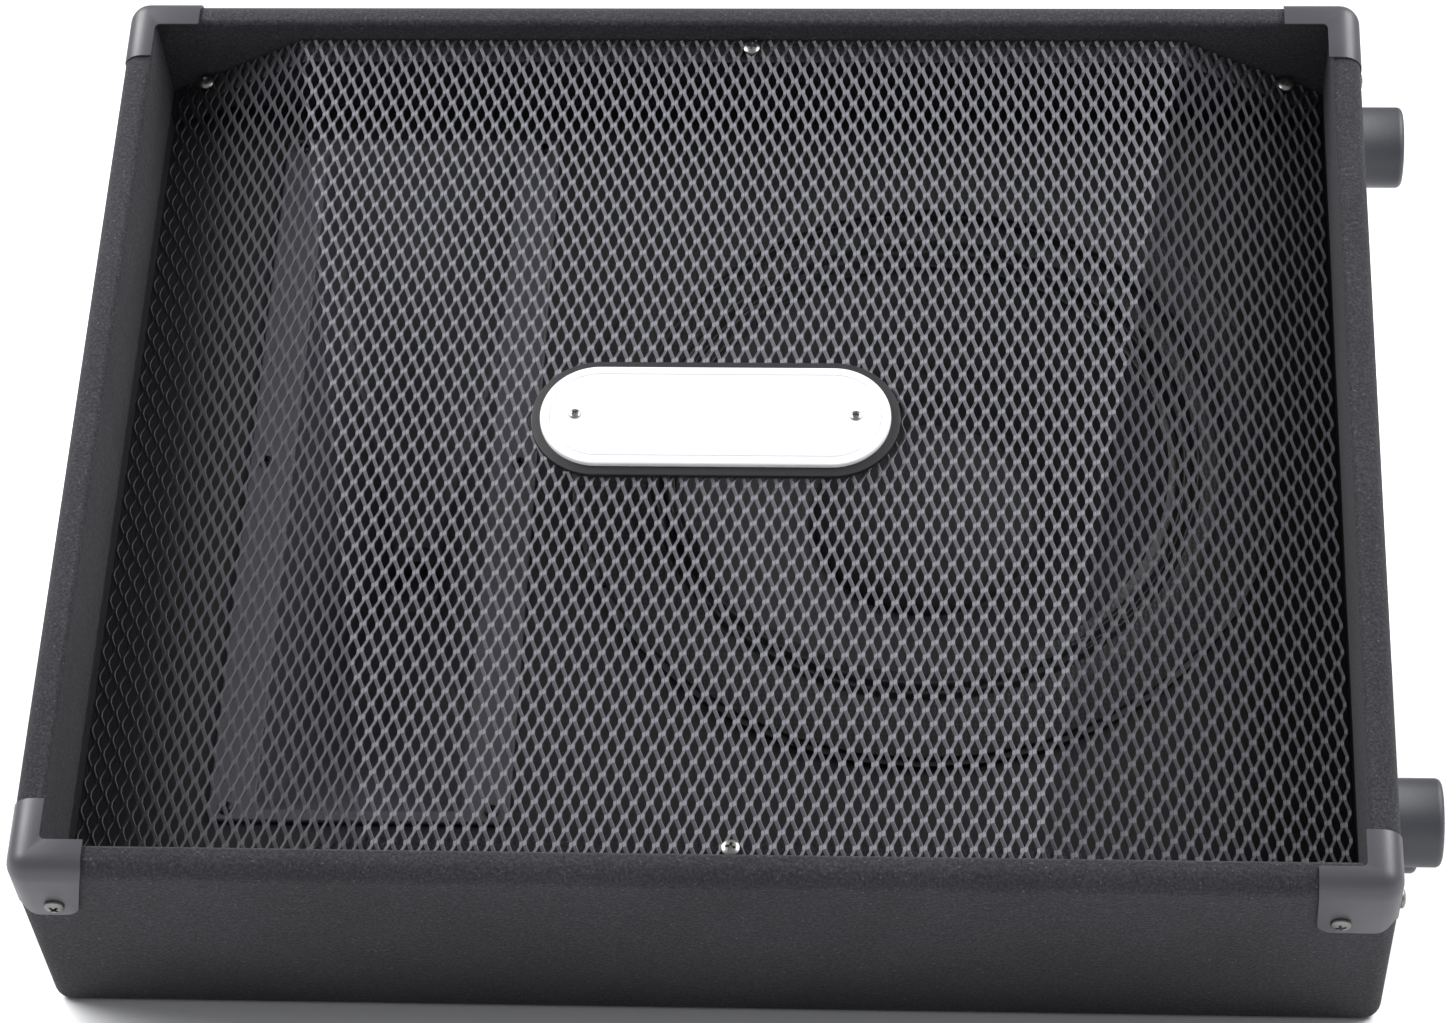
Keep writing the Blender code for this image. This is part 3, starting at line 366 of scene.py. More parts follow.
class WedgeColours(bpy.types.PropertyGroup):
    mesh: bpy.props.FloatVectorProperty(
        name="Mesh", description="Paint on the grille", subtype="COLOR", size=4, min=0, max=1,
        default=linear("#515156"),
    )
    guard: bpy.props.FloatVectorProperty(
        name="Guards", description="Moulded corner guards", subtype="COLOR", size=4, min=0, max=1,
        default=linear("#3b3b40"),
    )
    foot: bpy.props.FloatVectorProperty(
        name="Feet", description="Moulded standing feet", subtype="COLOR", size=4, min=0, max=1,
        default=linear("#34363c"),
    )
    badge: bpy.props.FloatVectorProperty(
        name="Nameplate", description="Enamel of the blank nameplate", subtype="COLOR", size=4, min=0,
        max=1, default=linear("#dcdce0"),
    )


# Materials


def tint(colour):
    """A hex colour, or the name of one of the wedge's own colours, as linear values."""
    if colour.startswith("#"):
        return linear(colour)
    return tuple(getattr(bpy.context.scene.wedge_colours, colour))


def polypropylene_carpet(name):
    """Needle-punched polypropylene carpet: matt charcoal fuzz of fine fibres with a few paler flecks."""
    material, tree, shader, place = new_material(name)
    # Fibres and flecks are about 1.5 mm, coarser than real fibre ends, so that they show.
    fibres = add(tree, NOISE, {"Vector": place, "Scale": 640.0, "Detail": 2.0, "Roughness": 0.7})
    flecks = add(tree, NOISE, {"Vector": place, "Scale": 620.0, "Detail": 1.0, "Roughness": 0.6})
    cloud = add(tree, NOISE, {"Vector": place, "Scale": 14.0, "Detail": 3.0})
    base = add(tree, RAMP, {"Fac": fibres}, [(0.32, "#232226"), (0.50, "#2e2d31"), (0.68, "#3b3a3f")])
    pale = add(tree, RAMP, {"Fac": flecks}, [(0.66, "#000000"), (0.78, "#ffffff")])
    shade = add(tree, RAMP, {"Fac": cloud}, [(0.3, "#e2e2e2"), (0.7, "#ffffff")])
    mixed = add(tree, MIX, {"Factor": pale, "A": base, "B": linear("#535259")}, data_type="RGBA")
    toned = add(
        tree, MIX, {"Factor": 1.0, "A": mixed, "B": shade}, data_type="RGBA", blend_type="MULTIPLY",
    )
    feed(shader, {
        "Base Color": toned, "Roughness": 0.95, "Specular IOR Level": 0.2,
        "Sheen Weight": 0.05, "Sheen Roughness": 0.6,
        "Normal": add(tree, BUMP, {"Strength": 0.6, "Distance": 0.0010, "Height": fibres}),
    })
    return material


def coated(name, colour, relief, mottle, gloss, metallic=0.0):
    """An even colour with a fine relief and a gloss that changes a little from place to place.

    relief is the bump's scale, strength and depth, mottle the scale and detail of the changes in
    gloss, and gloss the lowest and highest roughness.
    """
    material, tree, shader, place = new_material(name)
    if relief:
        scale, strength, depth = relief
        grain = add(tree, NOISE, {"Vector": place, "Scale": scale, "Detail": 2.0})
        bump = add(tree, BUMP, {"Strength": strength, "Distance": depth, "Height": grain})
        feed(shader, {"Normal": bump})
    worn = add(tree, NOISE, {"Vector": place, "Scale": mottle[0], "Detail": mottle[1]})
    spread = add(tree, RANGE, {"Value": worn, "To Min": gloss[0], "To Max": gloss[1]})
    feed(shader, {"Base Color": tint(colour), "Roughness": spread, "Metallic": metallic})
    return material


def powder_coat(name, colour, scale, roughness):
    """Powder-coated steel: an even, faintly pebbled skin with a soft broad highlight."""
    return coated(name, colour, (scale, 0.25, 0.0003), (30.0, 3.0), (roughness - 0.06, roughness + 0.08))


def graphite_paint(name, colour):
    """Graphite metallic paint on steel: flakes make lit strands silvery and leave the others dark."""
    flakes = 1900.0  # about 0.5 mm each, coarser than the real ones, so that they show
    return coated(name, colour, (flakes, 0.3, 0.0002), (flakes, 2.0), (0.44, 0.60), 0.75)


def moulded_plastic(name, colour, grain=0.0009, roughness=0.42, depth=0.0002):
    """Moulded ABS with a fine spark texture: satin, a little uneven in gloss where hands rub it."""
    return coated(
        name, colour, (1 / grain, 0.35, depth), (45.0, 4.0), (roughness - 0.07, roughness + 0.10),
    )


def bare_metal(name, colour, roughness):
    """Plated or formed metal: its own colour in slightly cloudy reflections."""
    return coated(name, colour, None, (380.0, 3.0), (roughness - 0.06, roughness + 0.12), 1.0)


def enamel(name, colour):
    """Fired enamel: glassy, white and very smooth."""
    material, tree, shader, place = new_material(name)
    peel = add(tree, NOISE, {"Vector": place, "Scale": 160.0, "Detail": 1.0})
    bump = add(tree, BUMP, {"Strength": 0.08, "Distance": 0.0003, "Height": peel})
    feed(shader, {"Base Color": tint(colour), "Normal": bump, "Roughness": 0.22, "Coat Weight": 0.4})
    return material


def patterned(name, pattern, stops, relief, roughness, metallic=0.0):
    """One pattern in both colour and relief: pattern gives a socket when called with tree and place."""
    material, tree, shader, place = new_material(name)
    height = pattern(tree, place)
    base = add(tree, RAMP, {"Fac": height}, stops)
    bump = add(tree, BUMP, {"Strength": relief[0], "Distance": relief[1], "Height": height})
    feed(shader, {"Base Color": base, "Normal": bump, "Roughness": roughness, "Metallic": metallic})
    return material


def black_baffle_paint(name):
    """Black emulsion on board: flat, with faint roller stipple."""
    def stipple(tree, place):
        return add(tree, NOISE, {"Vector": place, "Scale": 450.0, "Detail": 3.0})
    return patterned(name, stipple, [(0.3, "#0e0e10"), (0.7, "#18181a")], (0.4, 0.0004), 0.8)


def pulp_paper(name):
    """Pressed pulp paper, dyed black: matt, with a felted surface of short fibres."""
    def felt(tree, place):
        return add(tree, NOISE, {"Vector": place, "Scale": 700.0, "Detail": 4.0, "Roughness": 0.7})
    stops = [(0.3, "#151517"), (0.55, "#1e1e21"), (0.75, "#2a2a2e")]
    return patterned(name, felt, stops, (0.5, 0.0004), 0.78)


def doped_cloth(name, dark, light, roughness):
    """Woven cotton soaked in dope or resin: a fine weave under its film."""
    def weave(tree, place):
        thread = 0.0012  # drawn coarser than the real 0.5 mm, so that the weave shows
        waves = {"Vector": place, "Scale": 1 / thread / 20 * pi, "Distortion": 0.6, "Detail": 1.0}
        warp, weft = [
            add(tree, WAVE, waves, bands_direction=axis, wave_profile="SIN").outputs["Fac"]
            for axis in ("X", "Y")
        ]
        return add(tree, MATH, {0: warp, 1: weft}, operation="MULTIPLY")
    return patterned(name, weave, [(0.1, dark), (0.8, light)], (0.4, 0.0003), roughness)


def copper_winding(name):
    """Enamelled copper wire, wound close: warm, glossy, with a fine line for each turn."""
    def turns(tree, place):
        waves = {"Vector": place, "Scale": 260.0, "Distortion": 0.3}
        return add(tree, WAVE, waves, bands_direction="Z", wave_profile="SIN").outputs["Fac"]
    return patterned(name, turns, [(0.0, "#7a3d1c"), (0.6, "#b8683a")], (0.5, 0.0003), 0.35, 0.8)


def board_laminate(name):
    """Glass-epoxy laminate: green solder mask with a faint woven ground."""
    material, tree, shader, place = new_material(name)
    weave = add(tree, "ShaderNodeTexBrick", {
        "Vector": place, "Scale": 400.0, "Color1": linear("#1f5a35"), "Color2": linear("#236239"),
        "Mortar": linear("#1a4c2d"),
    })
    feed(shader, {"Base Color": weave, "Roughness": 0.4})
    return material


# Each real material, how it is made and what it gives the eye.
FINISHES = {
    "needle_punched_carpet": (polypropylene_carpet,),  # dull charcoal fuzz
    "black_painted_board": (black_baffle_paint,),  # flat black
    "graphite_metallic_painted_steel": (graphite_paint, "mesh"),  # silvery where lit
    "white_enamel": (enamel, "badge"),  # glassy white
    "satin_grey_abs": (moulded_plastic, "guard"),  # grey, with a soft highlight along each edge
    "satin_grey_rubber": (moulded_plastic, "foot", 0.0012, 0.5),  # bluish grey and duller
    "charcoal_moulded_abs": (moulded_plastic, "#424247", 0.0010, 0.45),  # dark grey, lit on its flange
    "black_abs": (moulded_plastic, "#1b1b1d"),  # plain satin black
    "black_textured_abs": (moulded_plastic, "#1e1e20", 0.0011, 0.5, 0.0003),  # black, deeper grain
    "polyester_film_wrap": (moulded_plastic, "#b59a3c", 0.002, 0.3),  # shiny yellow
    "cement_resistor_body": (moulded_plastic, "#d9d6cc", 0.0015, 0.85, 0.0004),  # chalky white
    "bright_zinc_plated_steel": (bare_metal, "#8f8e8b", 0.30),  # silvery
    "dull_zinc_plated_steel": (bare_metal, "#757472", 0.36),  # weathered grey
    "black_zinc_plated_steel": (bare_metal, "#2e2e31", 0.35),  # near black
    "yellow_zinc_plated_steel": (bare_metal, "#b8ad86", 0.34),  # faintly golden
    "clear_zinc_plated_steel": (bare_metal, "#a9a9a6", 0.34),  # pale grey
    "nickel_plated_brass": (bare_metal, "#bdb8ac", 0.22),  # warm and nearly mirror bright
    "formed_titanium_foil": (bare_metal, "#b3aca2", 0.30),  # warm grey
    "sintered_ferrite": (powder_coat, "#2b2b2d", 500.0, 0.6),  # dark ground ceramic, dusty sheen
    "black_stamped_steel": (powder_coat, "#222225", 900.0, 0.45),  # semi-gloss black
    "black_powder_coated_steel": (powder_coat, "#1c1c1f", 1200.0, 0.5),  # finer and duller black
    "dyed_pulp_paper": (pulp_paper,),  # matt, felted black
    "doped_cotton_cloth": (doped_cloth, "#161617", "#27272a", 0.5),  # tacky semi-gloss black
    "black_felt_gasket": (doped_cloth, "#19191a", "#29292b", 0.9),  # dry matt black
    "phenolic_dipped_cloth": (doped_cloth, "#8a6a34", "#b08d50", 0.8),  # stiff amber cloth
    "enamelled_copper_wire": (copper_winding,),  # warm lines of wire
    "glass_epoxy_laminate": (board_laminate,),  # green board
}


def finish(name):
    """The material of that name, made on its first use and tinted with the panel's colours on each."""
    maker, *details = FINISHES[name]
    material = bpy.data.materials.get(name) or maker(name, *details)
    if details and details[0] in WedgeColours.__annotations__:
        feed(material.node_tree.nodes["Principled BSDF"], {"Base Color": tint(details[0])})
    return material


# Carpeted cabinet


def outline_corners():
    lip = sizes().lip
    matrix = slope_matrix()
    rear, front = matrix @ Vector((0, SLOPE_LENGTH, 0)), matrix @ Vector((0, 0, 0))
    low = matrix @ Vector((0, SLOPE_LENGTH, -lip))
    return [Vector(p) for p in ((-BACK, 0), (BACK, 0), low.yz, rear.yz, front.yz)]


def offset_corner(corners, index, inset):
    """The outline's corner moved inwards by inset from both of its edges."""
    before = (corners[index] - corners[index - 1]).normalized()
    after = (corners[(index + 1) % len(corners)] - corners[index]).normalized()
    return corners[index] + (after - before) * inset / before.cross(after)


def rounded_outline(corners, radius, inset, steps=7):
    """The cabinet's side outline in (y, z), with round corners, moved inwards by inset."""
    points = []
    for index in range(len(corners)):
        centre = offset_corner(corners, index, radius)
        before = corners[index] - corners[index - 1]
        after = corners[(index + 1) % len(corners)] - corners[index]
        start = atan2(-before.x, before.y)
        end = atan2(-after.x, after.y)
        end += 2 * pi if end < start else 0.0
        points += arc(centre, radius - inset, start, end, steps)
    return points


def recess_cutter():
    """The inside of the cabinet and the open recess, flaring out where the rim's edge is rounded."""
    radius, steps, clear = sizes().rim_radius, 6, 0.02
    matrix = slope_matrix()
    levels = [(clear, radius)]
    for i in range(steps + 1):
        angle = pi / 2 * (1 - i / steps)
        levels.append((-radius * (1 - sin(angle)), radius * (1 - cos(angle))))
    made = bmesh.new()
    rings = []
    for out, grow in levels:
        x = INNER_HALF + grow
        low, high = PANEL - grow, SLOPE_LENGTH - PANEL + grow
        corners = ((-x, low, out), (x, low, out), (x, high, out), (-x, high, out))
        rings.append(ring(made, [matrix @ Vector(p) for p in corners]))
    front, floor_back, rear = [offset_corner(outline_corners(), i, PANEL) for i in (0, 1, 2)]
    lowest = ring(made, [
        (side * INNER_HALF, p.x, p.y) for side, p in ((-1, front), (1, front), (1, rear), (-1, rear))
    ])
    rings.append(lowest)
    for first, second in zip(rings, rings[1:]):
        bridge(made, first, second)
    left, right = ring(made, [(side * INNER_HALF, floor_back.x, floor_back.y) for side in (-1, 1)])
    for face in (
        rings[0], (lowest[0], lowest[1], right, left), (lowest[2], lowest[3], left, right),
        (lowest[1], lowest[2], right), (lowest[3], lowest[0], left),
    ):
        made.faces.new(face)
    bmesh.ops.recalc_face_normals(made, faces=made.faces)
    return as_object("recess_cutter", made)


def window_cutter(name, node, face, order, margin):
    """A rounded opening through a board, smaller than the CAD node that covers it by margin all over."""
    corner, reach = 0.008, 2 * PANEL
    low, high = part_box(node)
    middle, size = (low + high) / 2, high - low
    first, second = ["xyz".index(axis) for axis in order[:2]]
    outline = [
        (a + middle[first], b + middle[second])
        for a, b in rounded_rectangle(size[first] - margin, size[second] - margin, corner, 4)
    ]
    return as_object(name, slab(outline, face - reach, face + reach, order))


class WEDGE_OT_carpeted_cabinet(bpy.types.Operator):
    """Cabinet boards under one carpet skin that wraps the lips and the rim"""
    bl_idname = "wedge.carpeted_cabinet"
    bl_label = "Carpeted cabinet"

    def execute(self, context):
        corners = outline_corners()
        radius, face_radius, steps = sizes().corner_radius, 0.0095, 6
        stations = []
        for i in range(steps + 1):
            angle = pi / 2 * i / steps
            stations.append((LEFT + face_radius * (1 - cos(angle)), face_radius * (1 - sin(angle))))
        stations += [(-x, inset) for x, inset in reversed(stations)]
        loops = [
            [(x, y, z) for y, z in rounded_outline(corners, radius, inset)] for x, inset in stations
        ]
        cover = as_object("carpet_cover", lofted(loops))
        handle = window_cutter("handle_window", "pocket_handle", LEFT, "yzx", 0.024)
        socket = window_cutter("input_window", "input_plate", BACK, "xzy", 0.030)
        cut(cover, recess_cutter(), handle, socket)
        boards = (
            "floor_panel", "back_panel", "rear_lip_panel", "front_panel", "side_panel_left",
            "side_panel_right",
        )
        finished(cover, "needle_punched_carpet", boards)
        return {"FINISHED"}


class WEDGE_OT_baffle_boards(bpy.types.Operator):
    """Paints the baffle and covers the grille's cleats with carpet"""
    bl_idname = "wedge.baffle_boards"
    bl_label = "Baffle and cleats"

    def execute(self, context):
        repaint("black_painted_board", "baffle")
        repaint("needle_punched_carpet", "grille_cleat_front", "grille_cleat_rear")
        return {"FINISHED"}


# Grille


def strand(phase, low, high):
    """One zigzag strand of expanded metal along the slope, from low to high, as a closed bar.

    A strand holds the right half of one knuckle, then the left half of the next knuckle over.
    """
    values = sizes()
    thick, tilt, half = values.strand_thickness, values.strand_tilt, values.strand_width / 2
    pitch, rise = values.mesh_short_way, values.mesh_long_way
    side = Vector((cos(tilt), 0.0, sin(tilt)))
    face = Vector((-sin(tilt), 0.0, cos(tilt)))
    ease, fall = 0.12, 0.25  # shares of the half width and of the thickness off the two upper edges
    section = [
        side * across * half - face * thick * down
        for across, down in ((1, 1), (1, fall), (1 - ease, 0), (ease - 1, 0), (-1, fall), (-1, 1))
    ]
    right_half = side * half
    left_half = Vector((pitch / 2, 0.0, 0.0)) - side * half
    loops = []
    period = int((low - phase) // rise) - 1
    while phase + period * rise < high + rise:
        start = phase + period * rise
        for centre, place in ((start, right_half), (start + rise / 2, left_half)):
            for up in (centre - KNUCKLE / 2, centre + KNUCKLE / 2):
                loops.append([place + point + Vector((0.0, up, 0.0)) for point in section])
        period += 1
    made = lofted(loops)
    for limit, inner in ((low, False), (high, True)):
        bmesh.ops.bisect_plane(
            made, geom=made.verts[:] + made.edges[:] + made.faces[:], plane_co=(0, limit, 0),
            plane_no=(0, 1, 0), clear_inner=not inner, clear_outer=inner,
        )
        bmesh.ops.holes_fill(made, edges=[edge for edge in made.edges if edge.is_boundary])
    bmesh.ops.recalc_face_normals(made, faces=made.faces)
    return made


def grille_tree():
    """Rows of strands side by side, bent down past the two slanting creases."""
    numbers = (
        "First", "Pitch", "Front", "Length", "Front crease", "Rear crease", "End", "Middle depth",
        "End drop",
    )
    tree, given = new_tree("expanded_metal", [
        ("Strand", "Object"), ("Offset strand", "Object"), ("Count", "Int"), ("Offset count", "Int"),
        *[(label, "Float") for label in numbers], ("Material", "Material"),
    ])
    join = add(tree, "GeometryNodeJoinGeometry")
    half = add(tree, MATH, {0: given["Pitch"], 1: 0.5}, operation="MULTIPLY")
    shifted = add(tree, MATH, {0: given["First"], 1: half}, operation="ADD")
    for label, first, count in (
        ("Strand", given["First"], given["Count"]), ("Offset strand", shifted, given["Offset count"]),
    ):
        start = add(tree, "ShaderNodeCombineXYZ", {"X": first})
        step = add(tree, "ShaderNodeCombineXYZ", {"X": given["Pitch"]})
        line = add(tree, "GeometryNodeMeshLine", {"Count": count, "Start Location": start, "Offset": step})
        source = add(tree, "GeometryNodeObjectInfo", {"Object": given[label]}).outputs["Geometry"]
        copies = add(tree, "GeometryNodeInstanceOnPoints", {"Points": line, "Instance": source})
        feed(join, {"Geometry": copies})
    real = add(tree, "GeometryNodeRealizeInstances", {"Geometry": join})
    place = add(tree, "ShaderNodeSeparateXYZ", {0: add(tree, "GeometryNodeInputPosition")}).outputs
    distance = add(tree, MATH, {0: place["X"]}, operation="ABSOLUTE")
    climbed = add(tree, MATH, {0: place["Y"], 1: given["Front"]}, operation="SUBTRACT")
    share = add(tree, MATH, {0: climbed, 1: given["Length"]}, operation="DIVIDE")
    crease = add(tree, RANGE, {
        "Value": share, "To Min": given["Front crease"], "To Max": given["Rear crease"],
    })
    past = add(tree, MATH, {0: distance, 1: crease}, operation="SUBTRACT")
    span = add(tree, MATH, {0: given["End"], 1: crease}, operation="SUBTRACT")
    bend = add(tree, MATH, {0: past, 1: span}, operation="DIVIDE")
    kept = add(tree, MATH, {0: bend, 1: 0.0}, operation="MAXIMUM")
    drop = add(tree, MATH, {0: kept, 1: given["End drop"]}, operation="MULTIPLY")
    total = add(tree, MATH, {0: drop, 1: given["Middle depth"]}, operation="ADD")
    down = add(tree, MATH, {0: total, 1: -1.0}, operation="MULTIPLY")
    shift = add(tree, "ShaderNodeCombineXYZ", {"Z": down})
    bent = add(tree, "GeometryNodeSetPosition", {"Geometry": real, "Offset": shift})
    return end_tree(tree, bent, given["Material"])


class WEDGE_OT_expanded_grille(bpy.types.Operator):
    """Expanded steel mesh in three strips, bent down at its two ends"""
    bl_idname = "wedge.expanded_grille"
    bl_label = "Expanded grille"

    def execute(self, context):
        low, high = box_of_slope("grille")
        front, rear = low.y + TOUCH, high.y - TOUCH
        pitch = sizes().mesh_short_way
        knuckle_column, knuckle_row = 0.015, front + 0.0015
        strands = [
            as_object("strand", strand(knuckle_row, front, rear)),
            as_object("offset_strand", strand(knuckle_row + sizes().mesh_long_way / 2, front, rear)),
        ]
        coat = "graphite_metallic_painted_steel"
        first = knuckle_column - int((knuckle_column - low.x + pitch / 2) / pitch) * pitch
        third = round((high.x - low.x) / pitch / 3)
        end_clearance = 0.002
        for index, label in enumerate(("left", "middle", "right")):
            holder = as_object(f"grille_mesh_{label}", bmesh.new())
            run_tree(holder, grille_tree(), {
                "Strand": strands[0], "Offset strand": strands[1], "Pitch": pitch,
                "First": first + index * third * pitch, "Count": third + (index == 2),
                "Offset count": third, "Front": front, "Length": rear - front,
                "Front crease": RIGHT - FRONT_CREASE, "Rear crease": RIGHT - REAR_CREASE,
                "End": high.x, "Middle depth": -high.z, "End drop": high.z - low.z - end_clearance,
                "Material": finish(coat),
            })
            finished(holder, coat, ("grille",), slope_matrix(), smooth=None)
        for source in strands:
            bpy.data.objects.remove(source)
        return {"FINISHED"}


# Screws


def pan_head():
    """A cross-recessed pan head with its seat at height zero and a short stub below it."""
    radius, height, stub, steps = 0.0050, 0.0028, 0.0015, 5
    rim = 0.34  # share of the height below the dome
    profile = [(0.0, -stub), (radius * 0.45, -stub), (radius * 0.45, 0.0), (radius * 0.94, 0.0)]
    profile += [(radius, height * 0.12), (radius, height * rim)]
    for i in range(1, steps + 1):
        angle = pi / 2 * i / steps
        profile.append((radius * cos(angle), height * (rim + (1 - rim) * sin(angle))))
    profile[-1] = (0.0, height)
    head = as_object("pan_head", turned(profile, 20))
    wide, floor, over = radius * 0.66, height * 0.25, height + 0.001
    outline = [(-wide, over), (-wide * 0.55, floor), (wide * 0.55, floor), (wide, over)]
    arms = []
    for index in range(2):
        arm = slab(outline, -radius * 0.15, radius * 0.15, "xzy")
        bmesh.ops.rotate(arm, verts=arm.verts, matrix=Matrix.Rotation(pi / 2 * index, 3, "Z"))
        arms.append(as_object(f"cross_arm_{index}", arm))
    return cut(head, *arms)


def screw_tree():
    """A screw on each point, facing along the point's facing and turned about it by its own angle."""
    tree, given = new_tree("screws_on_points", [
        ("Screw", "Object"), ("Scale", "Float"), ("Material", "Material"),
    ])
    facing = add(tree, "GeometryNodeInputNamedAttribute", {"Name": "facing"}, data_type="FLOAT_VECTOR")
    aligned = add(tree, "FunctionNodeAlignRotationToVector", {"Vector": facing}, axis="Z")
    spin = add(tree, "FunctionNodeRandomValue", {"Min": 0.0, "Max": pi, "Seed": 7}, data_type="FLOAT")
    own = add(tree, "FunctionNodeAxisAngleToRotation", {"Axis": (0.0, 0.0, 1.0), "Angle": spin})
    both = add(
        tree, "FunctionNodeRotateRotation", {"Rotation": aligned, "Rotate By": own},
        rotation_space="LOCAL",
    )
    source = add(tree, "GeometryNodeObjectInfo", {"Object": given["Screw"]}).outputs["Geometry"]
    copies = add(tree, "GeometryNodeInstanceOnPoints", {
        "Points": given["Geometry"], "Instance": source, "Rotation": both, "Scale": given["Scale"],
    })
    real = add(tree, "GeometryNodeRealizeInstances", {"Geometry": copies})
    return end_tree(tree, real, given["Material"])


def screws(name, places, material, scale=1.0, replaced=()):
    """Pan-head screws at (place, facing) pairs in world metres, as one piece."""
    made = bmesh.new()
    facing = made.verts.layers.float_vector.new("facing")
    for place, normal in places:
        made.verts.new(place)[facing] = normal
    holder = as_object(name, made)
    head = pan_head()
    run_tree(holder, screw_tree(), {"Screw": head, "Scale": scale, "Material": finish(material)})
    bpy.data.objects.remove(head)
    return finished(holder, material, replaced)


class WEDGE_OT_grille_screws(bpy.types.Operator):
    """Six screws that hold the grille to its cleats"""
    bl_idname = "wedge.grille_screws"
    bl_label = "Grille screws"

    def execute(self, context):
        nodes = [f"grille_screw_{index}" for index in range(1, 7)]
        places = []
        for node in nodes:
            low, high = box_of_slope(node)
            middle = (low + high) / 2
            seat = Vector((middle.x, middle.y, high.z - 0.0026))
            places.append((slope_matrix() @ seat, AXIS))
        screws("grille_fixing_screws", places, "bright_zinc_plated_steel", 0.96, nodes)
        return {"FINISHED"}


# Corner guards, feet and nameplate


def guard_block(low, high, radius):
    made = block(low, high)
    geometry = made.edges[:] + made.verts[:]
    bmesh.ops.bevel(made, geom=geometry, offset=radius, segments=8, profile=0.5, affect="EDGES")
    return made


def guard_tab(reach, foot_reach, flap, depth, order):
    """One flap and its arm: reach wide at the rim, foot_reach wide low down, with rounded lower corners."""
    radius, start = 0.009, 0.003
    outline = [(-0.01, 0.01), (-0.01, -flap + radius * 1.6)]
    outline += arc((start + radius, -flap + radius), radius, pi * 1.12, 1.5 * pi, 6)
    outline += arc((foot_reach - radius, -flap + radius), radius, -pi / 2, 0.0, 8)
    outline += [(reach, -0.003), (reach, 0.01)]
    return slab(outline, -0.01, depth, order)


def guard_fillet(across, along, radius):
    """Rounds the inner corner of the two arms on the rim."""
    lap = 0.001
    outline = [(across - lap, along - lap), (across + radius, along - lap)]
    outline += arc((across + radius, along + radius), radius, 1.5 * pi, pi, 6)
    outline.append((across - lap, along + radius))
    return slab(outline, -0.01, 0.01)


# Each flap: how far it reaches at the rim and low down, the place of its screw, and how deep its
# arm lies on the rim. A guard has one flap on the lip and one on the side.
GUARDS = (
    ("front_left", -1, 1, (0.0385, 0.0325, 0.0205, 0.0175), (0.0405, 0.0405, 0.0290, 0.0163)),
    ("front_right", 1, 1, (0.0415, 0.0405, 0.0290, 0.0120), (0.0325, 0.0325, 0.0140, 0.0178)),
    ("rear_left", -1, -1, (0.0400, 0.0400, 0.0290, 0.0180), (0.0405, 0.0325, 0.0205, 0.0156)),
    ("rear_right", 1, -1, (0.0415, 0.0340, 0.0205, 0.0172), (0.0405, 0.0405, 0.0290, 0.0178)),
)


class WEDGE_OT_corner_guards(bpy.types.Operator):
    """Four moulded guards with softened edges, and two screws in each"""
    bl_idname = "wedge.corner_guards"
    bl_label = "Corner guards"

    def execute(self, context):
        thick, radius = sizes().guard_thickness, sizes().corner_radius
        side_thick, flap, depth = thick / 2, 0.0435, 0.25
        front_screw_drop, side_screw_drop = 0.0330, 0.0350
        slope = slope_matrix()
        turn = slope.to_3x3()
        places = []
        for name, x_sign, up_sign, front_flap, side_flap in GUARDS:
            skin = as_object("guard_moulding_" + name, guard_block(
                (-side_thick, -thick, -depth), (depth, depth, thick), radius + thick))
            inside = as_object("guard_inside", guard_block(
                (-TOUCH, -TOUCH, -depth - 0.01), (depth, depth, TOUCH), radius))
            tabs = as_object("front_tab", guard_tab(*front_flap[:2], flap, front_flap[3], "xzy"))
            side_tab = as_object("side_tab", guard_tab(*side_flap[:2], flap, side_flap[3], "yzx"))
            fillet = as_object("arm_fillet", guard_fillet(side_flap[3], front_flap[3], 0.003))
            cut(tabs, side_tab, fillet, operation="UNION")
            cut(skin, inside)
            cut(skin, tabs, operation="INTERSECT")
            soften(skin, 0.0007, 2, 50.0)
            flip = Matrix.Diagonal((-x_sign, up_sign, 1.0, 1.0))
            skin.data.transform(flip)
            if flip.determinant() < 0:
                skin.data.flip_normals()
            edge = 0.0 if up_sign > 0 else SLOPE_LENGTH
            shift = Matrix.Translation((x_sign * RIGHT, edge, 0.0))
            finished(skin, "satin_grey_abs", ("corner_guard_" + name,), slope @ shift)
            across, along = front_flap[2], side_flap[2]
            front = Vector((x_sign * (RIGHT - across), edge - up_sign * thick, -front_screw_drop))
            side = Vector((x_sign * (RIGHT + side_thick), edge + up_sign * along, -side_screw_drop))
            places.append((slope @ front, turn @ Vector((0, -up_sign, 0))))
            places.append((slope @ side, turn @ Vector((x_sign, 0, 0))))
        screws("guard_screws", places, "dull_zinc_plated_steel", 1.05)
        return {"FINISHED"}


